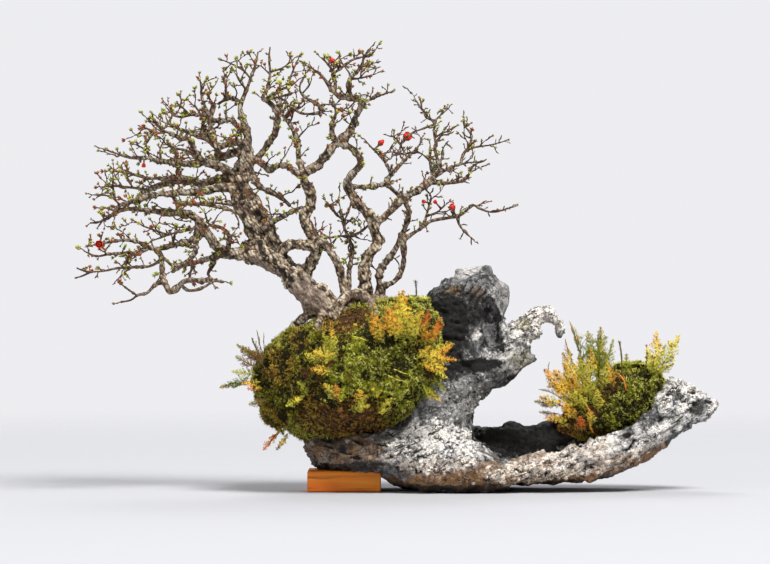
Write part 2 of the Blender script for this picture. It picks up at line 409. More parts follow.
class Heap:
    """Many shapes gathered into one mesh."""

    def __init__(self, *mark_names):
        self.mark_names = mark_names
        self.points = []
        self.corners = []
        self.marks = {name: [] for name in mark_names}
        self.count = 0

    def add(self, shape, places=None, **marks):
        """Add a shape once, or once for each place, a stack of 4 by 4 matrices."""
        places = np.eye(4)[None] if places is None else np.asarray(places, float).reshape(-1, 4, 4)
        copies, size = len(places), len(shape.points)
        if copies == 0 or size == 0:
            return
        turned = np.einsum("nij,pj->npi", places[:, :3, :3], shape.points) + places[:, None, :3, 3]
        starts = self.count + size * np.arange(copies)
        flipped = np.linalg.det(places[:, :3, :3]) < 0
        corners = np.where(flipped[:, None, None], shape.corners[None, :, ::-1], shape.corners[None])
        self.points.append(turned.reshape(-1, 3))
        self.corners.append((corners + starts[:, None, None]).reshape(-1, 3))
        for name in self.mark_names:
            own = shape.marks.get(name, np.zeros(size))
            given = np.broadcast_to(np.asarray(marks.get(name, 0.0), float), (copies,))
            self.marks[name].append((own[None] + given[:, None]).reshape(-1))
        self.count += copies * size

    def shape(self):
        """Everything in the heap as one shape."""
        marks = {name: np.concatenate(self.marks[name]) for name in self.mark_names}
        return Shape(np.concatenate(self.points), np.concatenate(self.corners), marks)

    def mesh(self, name):
        """One mesh of everything in the heap."""
        mesh, whole = bpy.data.meshes.new(name), self.shape()
        mesh.vertices.add(len(whole.points))
        mesh.vertices.foreach_set("co", whole.points.ravel())
        mesh.loops.add(whole.corners.size)
        mesh.loops.foreach_set("vertex_index", whole.corners.ravel())
        mesh.polygons.add(len(whole.corners))
        mesh.polygons.foreach_set("loop_start", np.arange(len(whole.corners)) * 3)
        mesh.update(calc_edges=True)
        mesh.validate()
        for mark, values in whole.marks.items():
            set_mark(mesh, mark, values)
        return mesh


def set_mark(mesh, name, values):
    """Store one number for each point of a mesh."""
    layer = mesh.attributes.new(name, "FLOAT", "POINT")
    layer.data.foreach_set("value", np.asarray(values, np.float32))


def points_of(mesh):
    """The points of a mesh as an array."""
    flat = np.zeros(len(mesh.vertices) * 3)
    mesh.vertices.foreach_get("co", flat)
    return flat.reshape(-1, 3)


def set_points(mesh, points):
    """Move the points of a mesh, but never outside the frame's box."""
    low, high = (np.array(corner[:]) for corner in FRAME_BOX)
    mesh.vertices.foreach_set("co", np.clip(points, low + 1e-5, high - 1e-5).ravel())
    mesh.update()


def finish_piece(name, form, finish, slot, *nodes, smooth=True):
    """Put a mesh or a heap in the scene as a piece of the bonsai, in the place of the nodes named."""
    mesh = form.mesh(name) if isinstance(form, Heap) else form
    set_points(mesh, points_of(mesh))
    mesh.materials.clear()
    mesh.materials.append(finish)
    mesh.polygons.foreach_set("use_smooth", np.full(len(mesh.polygons), smooth))
    made = bpy.data.objects.new(name, mesh)
    bpy.context.scene.collection.objects.link(made)
    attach(made, "root")
    if nodes:
        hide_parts(*nodes)


def remeshed(mesh, voxel, passes):
    """The same closed form in small even faces, eased by a few passes of smoothing."""
    made = bpy.data.objects.new("being_remeshed", mesh)
    bpy.context.scene.collection.objects.link(made)
    modifier = made.modifiers.new("even", "REMESH")
    modifier.mode = "VOXEL"
    modifier.voxel_size = voxel
    fine = bpy.data.meshes.new_from_object(made.evaluated_get(bpy.context.evaluated_depsgraph_get()))
    bpy.data.objects.remove(made)
    bpy.data.meshes.remove(mesh)
    bm = bmesh.new()
    bm.from_mesh(fine)
    for _ in range(passes):
        axes = {"use_axis_" + axis: True for axis in "xyz"}
        bmesh.ops.smooth_vert(bm, verts=bm.verts, factor=0.5, **axes)
    bmesh.ops.triangulate(bm, faces=bm.faces)
    bm.to_mesh(fine)
    bm.free()
    return fine


def fine_copy(node, voxel, passes):
    """A copy of a node's mesh, merged and cut into small even faces."""
    bm = bmesh.new()
    bm.from_mesh(NODES[node].data)
    bmesh.ops.remove_doubles(bm, verts=bm.verts, dist=1e-6)
    mesh = bpy.data.meshes.new(node + "_fine")
    bm.to_mesh(mesh)
    bm.free()
    return remeshed(mesh, voxel, passes)


def ease(value, low, high):
    """Nothing below low, one above high, and a smooth rise between."""
    t = min(1.0, max(0.0, (value - low) / (high - low)))
    return t * t * (3 - 2 * t)


def carve(mesh, relief, *mark_names):
    """Lift each point along its normal by relief(point, normal), which gives millimetres and marks."""
    points, lifts, marks = points_of(mesh), [], []
    normals = np.array([v.normal[:] for v in mesh.vertices])
    for place, normal in zip(points, normals):
        lift, *found = relief(Vector(place) / MM, normal)
        lifts.append(lift)
        marks.append(found)
    set_points(mesh, points + normals * np.array(lifts)[:, None] * MM)
    for name, values in zip(mark_names, np.array(marks).T):
        set_mark(mesh, name, values)


def skin_spots(mesh, spacing, rng, keep, mark="hollow"):
    """Random spots on a mesh, one for each square of the spacing: places, normals and a mark."""
    triangles = np.array([p.vertices[:] for p in mesh.polygons])
    points = points_of(mesh)
    a, b, c = (points[triangles[:, k]] for k in range(3))
    cross = np.cross(b - a, c - a)
    areas = np.linalg.norm(cross, axis=1) / 2
    normals = cross / np.maximum(2 * areas[:, None], 1e-12)
    areas = areas * keep((a + b + c) / 3 / MM, normals)
    count = int(areas.sum() / (spacing * MM) ** 2)
    picked = rng.choice(len(areas), count, p=areas / areas.sum())
    u, v = rng.random((2, count, 1))
    over = u + v > 1
    u, v = np.where(over, 1 - u, u), np.where(over, 1 - v, v)
    values = np.zeros(len(points))
    mesh.attributes[mark].data.foreach_get("value", values)
    spots = a[picked] + u * (b - a)[picked] + v * (c - a)[picked]
    return spots, normals[picked], values[triangles[picked]].mean(1)


def unit(rows):
    """Rows of vectors, each made one long."""
    return rows / np.linalg.norm(rows, axis=1)[:, None]


def places_at(spots, ways, sizes, rng):
    """Matrices that stand a shape on each spot, along each way, turned at random about it."""
    ways = unit(ways)
    helper = np.where(np.abs(ways[:, 2:3]) < 0.9, [[0.0, 0.0, 1.0]], [[1.0, 0.0, 0.0]])
    side = unit(np.cross(helper, ways))
    other = np.cross(ways, side)
    turn = rng.random(len(ways))[:, None] * 2 * math.pi
    across = side * np.cos(turn) + other * np.sin(turn)
    places = np.zeros((len(spots), 4, 4))
    places[:, :3, 0] = across
    places[:, :3, 1] = np.cross(ways, across)
    places[:, :3, 2] = ways
    places[:, :3, :3] *= np.asarray(sizes)[:, None, None]
    places[:, :3, 3] = spots
    places[:, 3, 3] = 1
    return places


def tube_shape(points, radii, sides):
    """A closed tube drawn ring by ring through points, in millimetres, as a shape in metres."""
    bm = bmesh.new()
    girth = bm.verts.layers.float.new("girth")
    along = bm.verts.layers.float.new("along")
    bmesh.ops.create_circle(bm, segments=sides, radius=1, cap_ends=True)
    bm.faces.ensure_lookup_table()
    face = bm.faces[0]
    rim = [v.co.copy() for v in face.verts]
    travelled, side, before = 0.0, None, None
    for k, (point, radius) in enumerate(zip(points, radii)):
        ahead = points[min(k + 1, len(points) - 1)] - points[max(k - 1, 0)]
        way = ahead.normalized()
        side = way.orthogonal().normalized() if side is None else (side - way * side.dot(way)).normalized()
        other = way.cross(side)
        if k:
            travelled += (point - before).length
            face = bmesh.ops.extrude_discrete_faces(bm, faces=[face])["faces"][0]
        before = point
        for v, spot in zip(face.verts, rim):
            v.co = (point + (side * spot.x + other * spot.y) * radius) * MM
            v[girth] = radius
            v[along] = travelled
    bm.faces.ensure_lookup_table()
    low_rim = [e for e in bm.edges if e.is_boundary]
    if low_rim:
        bmesh.ops.holes_fill(bm, edges=low_rim)
    bmesh.ops.recalc_face_normals(bm, faces=bm.faces)
    return Shape.of(bm)


def rounded(points, radii, step):
    """Points and radii of a smooth line through the given ones, about a step apart."""
    fine, thick = [], []
    last = len(points) - 1
    for k in range(last):
        p0, p1, p2, p3 = (points[min(max(k + d, 0), last)] for d in (-1, 0, 1, 2))
        pieces = max(1, round((p2 - p1).length / step))
        for j in range(pieces):
            t = j / pieces
            curve = (p2 - p0) * t + (2 * p0 - 5 * p1 + 4 * p2 - p3) * t ** 2
            curve += (3 * p1 - p0 - 3 * p2 + p3) * t ** 3
            fine.append(p1 + curve * 0.5)
            thick.append(radii[k] + (radii[k + 1] - radii[k]) * t)
    return fine + [points[-1]], thick + [radii[-1]]


def ways_of(points):
    """The direction of a line at each of its points."""
    last = len(points) - 1
    return [(points[min(k + 1, last)] - points[max(k - 1, 0)]).normalized() for k in range(last + 1)]


def spun(angle, axis):
    """A turn about one axis."""
    return Matrix.Rotation(angle, 4, axis)


def stood(point, way):
    """The placing that stands a shape at a point, in millimetres, along a way."""
    return Matrix.Translation(point * MM) @ way.to_track_quat("Z", "Y").to_matrix().to_4x4()


def spike(radius, depth, rise):
    """A three-sided spike along z, closed at its tip, with its middle lifted by the rise."""
    bm = bmesh.new()
    bmesh.ops.create_cone(bm, cap_ends=True, segments=3, radius1=radius, radius2=0, depth=depth)
    bmesh.ops.remove_doubles(bm, verts=bm.verts, dist=1e-6)
    bmesh.ops.translate(bm, verts=bm.verts, vec=(0, 0, rise))
    return bm


def mark_tips(bm, length=1.0):
    """Mark each point by how far along z it lies, from nothing to one."""
    tip = bm.verts.layers.float.new("tip")
    for v in bm.verts:
        v[tip] = v.co.z / length


def lump(roughness, grain, shift=0, stretch=(1, 1, 1)):
    """A rough crumb or crystal, one across before it is scaled."""
    bm = bmesh.new()
    bmesh.ops.create_icosphere(bm, subdivisions=1, radius=0.5)
    for v in bm.verts:
        v.co *= 1 + roughness * noise.noise(v.co * grain + Vector((shift, 0, 0)))
    bmesh.ops.scale(bm, verts=bm.verts, vec=stretch)
    return Shape.of(bm)


class Signal:
    """A shader value that is worked with as a number."""

    def __init__(self, finish, socket):
        self.finish = finish
        self.socket = socket

    def _math(self, operation, *values):
        return self.finish.node("ShaderNodeMath", {"operation": operation}, dict(enumerate(values)))

    def __add__(self, other):
        return self._math("ADD", self, other)

    __radd__ = __add__

    def __sub__(self, other):
        return self._math("SUBTRACT", self, other)

    def __rsub__(self, other):
        return self._math("SUBTRACT", other, self)

    def __mul__(self, other):
        return self._math("MULTIPLY", self, other)

    __rmul__ = __mul__

    def __abs__(self):
        return self._math("ABSOLUTE", self)

    def rise(self, low, high):
        """Nothing below low, one above high, and a smooth rise between."""
        settings = {"interpolation_type": "SMOOTHSTEP"}
        values = {"Value": self, "From Min": low, "From Max": high, "To Min": 0.0, "To Max": 1.0}
        return self.finish.node("ShaderNodeMapRange", settings, values)

    def kept(self):
        """The value held between nothing and one."""
        return self.finish.node("ShaderNodeMath", {"operation": "ADD", "use_clamp": True}, {0: self, 1: 0.0})


class Finish:
    """A material in the making, with one Principled shader."""

    def __init__(self, name, **fixed):
        self.material = bpy.data.materials.new(name)
        self.material.use_nodes = True
        self.tree = self.material.node_tree
        self.tree.nodes.clear()
        self.shader = self.tree.nodes.new("ShaderNodeBsdfPrincipled")
        output = self.tree.nodes.new("ShaderNodeOutputMaterial")
        self.tree.links.new(self.shader.outputs[0], output.inputs[0])
        for key, value in fixed.items():
            self.shader.inputs[key.replace("_", " ")].default_value = value
        self.place = self.node("ShaderNodeTexCoord", out="Object")

    def node(self, kind, settings=None, values=None, out=0):
        """One shader node: its settings first, then the values or links of its sockets."""
        made = self.tree.nodes.new(kind)
        for key, value in (settings or {}).items():
            setattr(made, key, value)
        for key, value in (values or {}).items():
            if isinstance(value, Signal):
                self.tree.links.new(value.socket, made.inputs[key])
            else:
                made.inputs[key].default_value = value
        return Signal(self, made.outputs[out])

    def mark(self, name):
        """A number stored on the points of the piece."""
        return self.node("ShaderNodeAttribute", {"attribute_name": name}, out="Fac")

    def clouds(self, scale, detail=4.0, roughness=0.6, place=None):
        """Soft noise from nothing to one, with features of about 1 / scale metres."""
        values = {"Vector": place or self.place, "Scale": scale, "Detail": detail, "Roughness": roughness}
        return self.node("ShaderNodeTexNoise", {}, values)

    def cells(self, place):
        """Distance in a pattern of cells at a stretched place."""
        values = {"Vector": place, "Scale": 1.0, "Randomness": 0.8}
        return self.node("ShaderNodeTexVoronoi", {}, values, out="Distance")

    def facets(self, scale):
        """A tone from nothing to one for each face of a patchwork of angular faces."""
        waver = self.node("ShaderNodeTexNoise", {}, {"Vector": self.place, "Scale": 1.5 * scale}, out="Color")
        values = {0: waver, 1: (0.7 / scale,) * 3, 2: self.place}
        place = self.node("ShaderNodeVectorMath", {"operation": "MULTIPLY_ADD"}, values)
        return self.node("ShaderNodeTexVoronoi", {}, {"Vector": place, "Scale": scale}, out="Color")

    def stretched(self, scale, turn=(0.0, 0.0, 0.0)):
        """The place, turned and then stretched along its axes."""
        values = {"Vector": self.place, "Rotation": turn, "Scale": [1 / size for size in scale]}
        return self.node("ShaderNodeMapping", {"vector_type": "TEXTURE"}, values)

    def mix(self, first, second, share):
        """Two colours mixed by a share, which the node holds between nothing and one."""
        first, second = (c if isinstance(c, Signal) else rgba(c) for c in (first, second))
        return self.node("ShaderNodeMix", {"data_type": "RGBA"}, {0: share, 6: first, 7: second}, out=2)

    def coats(self, colour, *layers):
        """A colour with others laid over it in turn, each by its own share."""
        for tint, share in layers:
            colour = self.mix(colour, tint, share)
        return colour

    def cracks(self, scale, width, detail=3.0):
        """Wandering dark lines: one on the line and nothing beside it."""
        return 1 - abs(self.clouds(scale, detail) - 0.5).rise(0.0, width)

    def feed(self, socket, signal):
        """Link a signal to a socket of the shader."""
        self.tree.links.new(signal.socket, self.shader.inputs[socket])

    def done(self, colour, roughness=None, bump=None):
        """The material, fed with its colour, roughness and relief: (height, distance, strength)."""
        self.feed("Base Color", colour)
        if roughness:
            self.feed("Roughness", roughness)
        if bump:
            values = dict(zip(("Height", "Distance", "Strength"), bump))
            self.feed("Normal", self.node("ShaderNodeBump", {}, values))
        return self.material


def rgba(colour):
    """A colour as four numbers."""
    return (*colour[:3], 1.0)


def colour_property(name, description, default):
    """A colour that a user may change."""
    return bpy.props.FloatVectorProperty(
        name=name, description=description, subtype="COLOR", size=3, min=0, max=1, default=default)


def length_property(name, description, default):
    """A length, in metres, that a user may change."""
    return bpy.props.FloatProperty(
        name=name, description=description, subtype="DISTANCE", unit="LENGTH", min=0, precision=4,
        default=default)


class BonsaiStoneSettings(bpy.types.PropertyGroup):
    """Sizes and colours of the stone."""

    fineness: length_property("Fineness", "Size of the faces that the stone is cut into", 0.00175)
    grey: colour_property("Grey", "The stone's own weathered grey", (0.22, 0.215, 0.21))
    shadow: colour_property("Shadow", "Hollows, pits and cracks", (0.012, 0.011, 0.01))
    chalk: colour_property("Chalk", "Bright crystalline faces", (1.0, 0.95, 0.88))
    rust: colour_property("Rust", "Brown weathered layers", (0.34, 0.19, 0.09))
    lichen: colour_property("Lichen", "Olive crust", (0.17, 0.15, 0.05))


class BonsaiTreeSettings(bpy.types.PropertyGroup):
    """Sizes and colours of the tree."""

    spur_step: length_property("Spur step", "Distance from one spur to the next along a limb", 0.0062)
    twig_step: length_property("Twig step", "Distance from one side twig to the next along a limb", 0.021)
    pale_bark: colour_property("Pale bark", "Flaking outer bark of old wood", (0.82, 0.74, 0.56))
    dark_bark: colour_property("Dark bark", "Bark in cracks and on young limbs", (0.035, 0.027, 0.016))
    inner_bark: colour_property("Inner bark", "Orange-brown bark between the flakes", (0.24, 0.12, 0.04))
    twig_bark: colour_property("Twig bark", "Reddish bark of the twigs", (0.145, 0.066, 0.028))
    leaf: colour_property("Leaf", "Opening leaf buds", (0.34, 0.42, 0.045))
    petal: colour_property("Petal", "Petals of the blooms", (0.72, 0.03, 0.012))


class BonsaiMossSettings(bpy.types.PropertyGroup):
    """Sizes and colours of the moss and soil."""

    tuft_spacing: length_property("Tuft spacing", "Mean distance between moss tufts", 0.0025)
    deep: colour_property("Deep moss", "Moss in shade", (0.011, 0.009, 0.0005))
    olive: colour_property("Olive moss", "Older moss on the left", (0.275, 0.235, 0.007))
    fresh: colour_property("Fresh moss", "Young moss of the cushion", (0.38, 0.41, 0.016))
    lime: colour_property("Lime specks", "Tips of young moss", (0.95, 0.95, 0.24))
    brown: colour_property("Brown moss", "Dry moss and old fibres", (0.66, 0.32, 0.06))
    soil: colour_property("Soil", "Peaty soil", (0.075, 0.035, 0.014))


class BonsaiFernSettings(bpy.types.PropertyGroup):
    """Colours of the spike-moss fronds."""

    green: colour_property("Green", "Young fronds", (0.3, 0.34, 0.02))
    yellow: colour_property("Yellow", "Fronds that are turning", (1.0, 0.86, 0.1))
    gold: colour_property("Gold", "Ripe fronds", (1.0, 0.6, 0.06))
    red: colour_property("Red", "Frond tips at their reddest", (0.85, 0.2, 0.03))
    brown: colour_property("Brown", "Dry sprigs and stems", (0.22, 0.11, 0.04))


class BonsaiStageSettings(bpy.types.PropertyGroup):
    """The floor, the light and the background."""

    floor: colour_property("Floor", "Colour of the floor", (0.5, 0.5, 0.52))
    background: colour_property("Background", "Colour behind the bonsai", (0.85, 0.85, 0.88))


SETTINGS = {
    "bonsai_stone": BonsaiStoneSettings,
    "bonsai_tree": BonsaiTreeSettings,
    "bonsai_moss": BonsaiMossSettings,
    "bonsai_fern": BonsaiFernSettings,
    "bonsai_stage": BonsaiStageSettings,
}

# Patches of the stone as the front shows them, for each mark: x, height, half width, half height,
# turn in degrees, side (-1 front, 1 back, 2 inside the trough, 0 all round) and strength
STONE_PATCHES = {
    "pale": [
        (27, 218, 14, 6, 20, 0, 0.5), (37, 158, 4.5, 10, -25, -1, 0.65), (71, 157, 8.5, 22, -28, -1, 1.3),
        (95, 168, 36, 21, 0, 0, 0.95), (74, 132, 22, 17, 0, 0, 0.5), (48, 134, 12, 5, 25, -1, 0.7),
        (18, 92, 34, 30, 0, 0, 0.12), (62, 192, 13, 20, 0, 0, 0.25), (110, 24, 76, 11, 6, -1, 1.0),
        (44, 92, 16, 20, 20, -1, 0.2), (-5, 46, 50, 25, 0, -1, 1.6), (150, 42, 74, 14, 14, 0, 0.66),
        (247, 90, 36, 19, 0, 0, 2.1), (205, 52, 38, 12, 28, 0, 0.95), (-5, 165, 6, 11, 25, -1, 0.5),
    ],
    "dark": [
        (12, 118, 16, 9, 15, -1, 0.8), (70, 68, 12, 6, -40, -1, 0.8), (6, 165, 24, 42, 0, -1, 1.25),
        (52, 166, 13, 28, 8, -1, 2.0), (30, 125, 36, 6.5, 6, -1, 1.3), (33, 176, 13, 20, -10, -1, 0.7),
        (118, 160, 5, 9, -20, -1, 1.1), (98, 126, 9, 8, 30, 0, 0.75), (82, 116, 18, 4, 18, 0, 0.8),
        (100, 56, 66, 24, 10, 2, 1.9), (-90, 26, 42, 6, 4, 0, 0.8), (-104, 48, 20, 5, -8, 0, 0.6),
        (-60, 52, 20, 4, 10, 0, 0.6), (256, 84, 13, 7, 35, 0, 0.8), (232, 100, 7, 11, 20, -1, 0.75),
        (20, 5, 90, 4, 0, 0, 0.7), (-15, 190, 14, 9, 25, 0, 0.85), (-40, 70, 12, 8, 30, -1, 0.7),
    ],
    "warm": [
        (42, 200, 17, 14, -40, -1, 0.25), (8, 196, 16, 9, 20, -1, 0.6), (6, 165, 22, 34, 0, -1, 0.5),
        (170, 28, 70, 10, 12, 0, 0.85), (54, 176, 8, 8, 0, -1, 0.6), (70, 17, 120, 13, 3, 0, 1.0),
        (-92, 40, 46, 22, 0, 0, 0.5), (0, 28, 60, 8, 0, 0, 0.5), (120, 38, 52, 14, 10, -1, 0.6),
        (200, 40, 30, 8, 25, 0, 0.6), (100, 172, 30, 18, 0, 0, 0.3),
    ],
    "lichen": [
        (83, 166, 8, 9, 0, 0, 0.9), (80, 130, 13, 9, 0, 0, 0.8), (10, 200, 12, 6, 20, -1, 0.4),
    ],
    "smooth": [
        (62, 190, 13, 17, 0, 0, 1.0),
    ],
    "crystal": [
        (-5, 46, 46, 24, 0, -1, 1.0), (95, 165, 36, 24, 0, 0, 0.4), (22, 95, 30, 26, 0, 0, 0.5),
        (100, 24, 70, 12, 6, -1, 0.8), (235, 95, 30, 18, 0, 0, 0.5),
    ],
    "cracked": [
        (170, 50, 90, 30, 15, 0, 1.0), (245, 90, 40, 24, 0, 0, 0.9), (92, 160, 34, 24, 30, 0, 0.5),
    ],
    "gnarled": [
        (-90, 40, 52, 26, 0, 0, 1.0), (40, 18, 120, 10, 0, 0, 0.8), (8, 165, 26, 42, 0, 0, 0.7),
    ],
    "strata": [
        (38, 202, 26, 20, -40, -1, 1.0),
    ],
}
STONE_MARKS = ("pale", "dark", "warm", "lichen")
# Places where the stone stands further out than its frame: x, height, reach and how far
STONE_SWELLS = [
    (99, 156, 12, 7.0), (87, 160, 9, 4.0), (123, 158, 10, 3.0), (76, 177, 7, 3.0), (108, 177, 8, 3.0),
    (90, 146, 9, 3.0), (70, 196, 17, 3.2), (16, 222, 9, 4.5), (52, 88, 20, 3.0), (243, 112, 20, 2.5),
    (263, 80, 14, 2.5), (30, 134, 12, 3.0),
]
# The head's folds run round this x and height, this far apart
FOLD_CENTRE = (66, 172)
FOLD_SPACING = 6.6
# How far the relief may go in and out
DEEPEST_PIT = 4.5
HIGHEST_RIDGE = 3.0
# The head's cavity: x, height, half width, half height, turn and how deep it is pushed in
CAVITY = (51, 167, 11.5, 27.0, 8, 26.0)
# Crystals: mean distance apart and the furthest back that they stand, in millimetres, and their forms
CRYSTAL_SPACING = 4.2
CRYSTAL_BACK = 20
CRYSTAL_KINDS = 5


def patch_reach(p, x, z, wide, high, turn):
    """How far a point lies from the middle of a patch, which ends at one."""
    c, s = math.cos(math.radians(turn)), math.sin(math.radians(turn))
    dx, dz = p.x - x, p.z - z
    return math.hypot((dx * c + dz * s) / wide, (dz * c - dx * s) / high)


def patch_strengths(p, normal):
    """How strongly each kind of patch covers a point of the stone."""
    found = dict.fromkeys(STONE_PATCHES, 0.0)
    edge = 0.34 * noise.noise(p / 9) + 0.26 * noise.noise(p / 4) + 0.2 * noise.noise(p / 1.8)
    out_of_trough = p.y < -27 or normal[1] > 0.45
    for kind, rows in STONE_PATCHES.items():
        for x, z, wide, high, turn, side, strength in rows:
            if side == 2 and out_of_trough or abs(side) == 1 and (p.y < -18) == (side > 0):
                continue
            if max(abs(p.x - x), abs(p.z - z)) > 1.7 * max(wide, high):
                continue
            reach = patch_reach(p, x, z, wide, high, turn) + edge
            found[kind] = max(found[kind], strength * (1 - ease(reach, 0.72, 1.12)))
    return found


def stone_relief(p, normal):
    """Relief of the stone at a point, and the marks that its colour follows."""
    found = patch_strengths(p, normal)
    gnarled, crystal, cracked, strata = (found[kind] for kind in ("gnarled", "crystal", "cracked", "strata"))
    calm = 1 - 0.75 * max(found["smooth"], strata)
    facet = noise.voronoi(p / 19 + Vector((2, 4, 6)))[0]
    ridge = 1 - abs(noise.noise(p / 13 + Vector((7, 0, 0)))) * 2.2
    small = 1 - abs(noise.noise(p / 5.5 + Vector((0, 9, 0)))) * 2.2
    lift = 1.0 * noise.noise(p / 24) + calm * (1.1 * (ridge - 0.5) + 0.8 * (small - 0.5))
    lift += calm * (2.2 * (facet[0] - 0.45) + 0.5 * noise.noise(p / 3.1) + 0.3 * noise.noise(p / 1.9))
    if gnarled > 0:
        fold = Vector((p.x / 15, p.y / 13, p.z / 5.5 + noise.noise(p / 14)))
        lift += gnarled * (3.6 * (1 - 2.4 * abs(noise.noise(fold))) - 1.6)
    if crystal > 0:
        near, close = noise.voronoi(p / 7.0)[0], noise.voronoi(p / 3.6)[0]
        lift += crystal * (2.0 * min(1.0, near[1] - near[0]) + 0.9 * min(1.0, close[1] - close[0]) - 1.3)
    if cracked > 0:
        along, across = p.x * 0.87 + p.z * 0.5, p.z * 0.87 - p.x * 0.5
        seam = Vector((along / 34, p.y / 20, across / 6.5 + noise.noise(p / 12)))
        lift += cracked * (2.9 * (1 - 2.6 * abs(noise.noise(seam))) - 1.2)
    groove = 0.0
    if strata > 0:
        out = math.hypot(p.x - FOLD_CENTRE[0], p.z - FOLD_CENTRE[1]) + 2.0 * noise.noise(p / 15)
        phase = out / FOLD_SPACING
        groove = strata * (1 - ease(abs(phase - round(phase)), 0.04, 0.24))
        lift += strata * (2.2 * (phase - math.floor(phase)) - 0.8) - 3.2 * groove
    pit = noise.voronoi(p / 8 + Vector((3, 3, 3)))[0][0]
    pitted = calm * (1 - 0.5 * crystal) * ease(noise.noise(p / 17 + Vector((5, 1, 2))), -0.1, 0.35)
    lift -= 2.4 * pitted * (1 - ease(pit, 0.12, 0.42))
    lift = max(-DEEPEST_PIT, min(HIGHEST_RIDGE, lift))
    hollow = max(ease(-lift, 1.2, 4.0), groove)
    for x, z, reach, swell in STONE_SWELLS:
        away = math.hypot(p.x - x, p.z - z)
        if away < reach:
            lift += swell * (1 - ease(away, 0.35 * reach, reach))
    return lift, hollow, crystal, *(found[mark] for mark in STONE_MARKS)


def deepen_cavity(mesh):
    """Push the middle of the head's cavity further into the stone."""
    points = points_of(mesh)
    x, z, wide, high, turn, deep = CAVITY
    for place in points:
        p = Vector(place) / MM
        if p.y > 2 or abs(p.x - x) > high or abs(p.z - z) > 1.3 * high:
            continue
        share = 1 - ease(patch_reach(p, x, z, wide, high, turn) + 0.25 * noise.noise(p / 6), 0.7, 1.0)
        place[1] += min(deep * share, max(0.0, 4 - p.y)) * MM
    set_points(mesh, points)


def stone_finish(look):
    """Weathered limestone: mottled grey with chalky, brown and olive areas and dark hollows."""
    made = Finish("bonsai_stone", Roughness=0.6, Specular_IOR_Level=0.25)
    pale, dark, warm, lichen, hollow = (made.mark(name) for name in (*STONE_MARKS, "hollow"))
    broad, fine = made.clouds(55, 5, 0.65), made.clouds(260, 5, 0.75)
    grain, veins = made.clouds(800, 2), made.clouds(120, 4, 0.65)
    streaks = made.clouds(1.0, 4, 0.7, made.stretched((48, 110, 230), (0.0, -0.42, 0.0)))
    cracks = (made.cracks(48, 0.022, 4.0) + made.cracks(120, 0.03) * 0.6).kept()
    faces = made.facets(190) * 0.6 + made.facets(420) * 0.4
    chalk = made.mix(look.chalk, (0.9, 0.66, 0.42), warm * (1 - grain.rise(0.4, 0.6)) * 0.9)
    vein = made.mix((0.13, 0.14, 0.165), (0.21, 0.095, 0.035), warm)
    streak = made.mix((0.05, 0.042, 0.036), (0.11, 0.048, 0.016), warm)
    colour = made.coats(
        look.grey * 0.15,
        (look.grey, broad.rise(0.36, 0.6)),
        (look.grey * 2.4, fine.rise(0.5, 0.62) * faces.rise(0.35, 0.7)),
        (look.grey * 0.1, (1 - faces.rise(0.3, 0.46)) * 0.75),
        (look.rust, warm * 1.35 - broad.rise(0.35, 0.65) * 0.4),
        (look.rust * 0.35, warm * (1 - fine.rise(0.36, 0.5))),
        (chalk, pale * (0.5 + broad * 1.4) * fine.rise(0.31, 0.47)),
        (vein, pale * (1 - faces.rise(0.26, 0.4)) * 0.75),
        (vein, pale * (1 - veins.rise(0.36, 0.46)) * 0.7),
        (streak, pale * (1 - streaks.rise(0.37, 0.44)) * 0.95),
        (look.chalk, pale * streaks.rise(0.52, 0.6) * 0.85),
        ((0.2, 0.13, 0.07), pale * veins.rise(0.57, 0.66) * 0.6),
        (look.lichen, lichen * fine.rise(0.4, 0.56) * 1.1),
        (look.shadow, dark * (1.15 - fine.rise(0.54, 0.7) * 0.45)),
        (look.shadow, cracks * broad.rise(0.3, 0.55) * 0.9),
        (look.shadow, hollow * 1.3 + (1 - grain.rise(0.3, 0.44)) * 0.6),
    )
    return made.done(colour, 0.34 + fine * 0.4, (fine * 0.9 + grain * 0.3 - cracks * 0.5, 0.0016, 1.0))


class BONSAI_OT_stone(bpy.types.Operator):
    """Replace the plain stone by one with folds, crystals, cracks and pits"""

    bl_idname = "bonsai.stone"
    bl_label = "Stone"

    def execute(self, context):
        look = context.scene.bonsai_stone
        mesh = fine_copy("stone", look.fineness, 2)
        deepen_cavity(mesh)
        mesh = remeshed(mesh, look.fineness, 1)
        carve(mesh, stone_relief, "hollow", "crystal", *STONE_MARKS)
        limestone = stone_finish(look)
        self.crystals(mesh, limestone)
        finish_piece("stone_weathered", mesh, limestone, "stone", "stone")
        return {"FINISHED"}

    def crystals(self, mesh, limestone):
        """Blunt angular crystals that stand out of the stone's crystalline areas."""
        rng = np.random.default_rng(SEED + 1)
        spots, normals, rough = skin_spots(
            mesh, CRYSTAL_SPACING, rng, lambda middles, _: middles[:, 1] < CRYSTAL_BACK, "crystal")
        chosen = rng.random(len(spots)) < 0.75 * rough
        spots, normals = spots[chosen], normals[chosen]
        found = [patch_strengths(Vector(spot) / MM, way) for spot, way in zip(spots, normals)]
        marks = {name: np.array([row[name] for row in found]) for name in STONE_MARKS}
        heap = Heap("hollow", *STONE_MARKS)
        kinds = rng.integers(0, CRYSTAL_KINDS, len(spots))
        for kind in range(CRYSTAL_KINDS):
            own = kinds == kind
            sizes = rng.uniform(1.8, 5.2, own.sum()) * MM
            ways = normals[own] + rng.normal(0, 0.5, (own.sum(), 3))
            given = {name: values[own] for name, values in marks.items()}
            given["pale"] = np.minimum(1.0, given["pale"] + 0.35 * rng.random(own.sum()))
            heap.add(lump(0.5, 4, kind * 5), places_at(spots[own], ways, sizes, rng), **given)
        finish_piece("stone_crystals", heap, limestone, "stone", smooth=False)


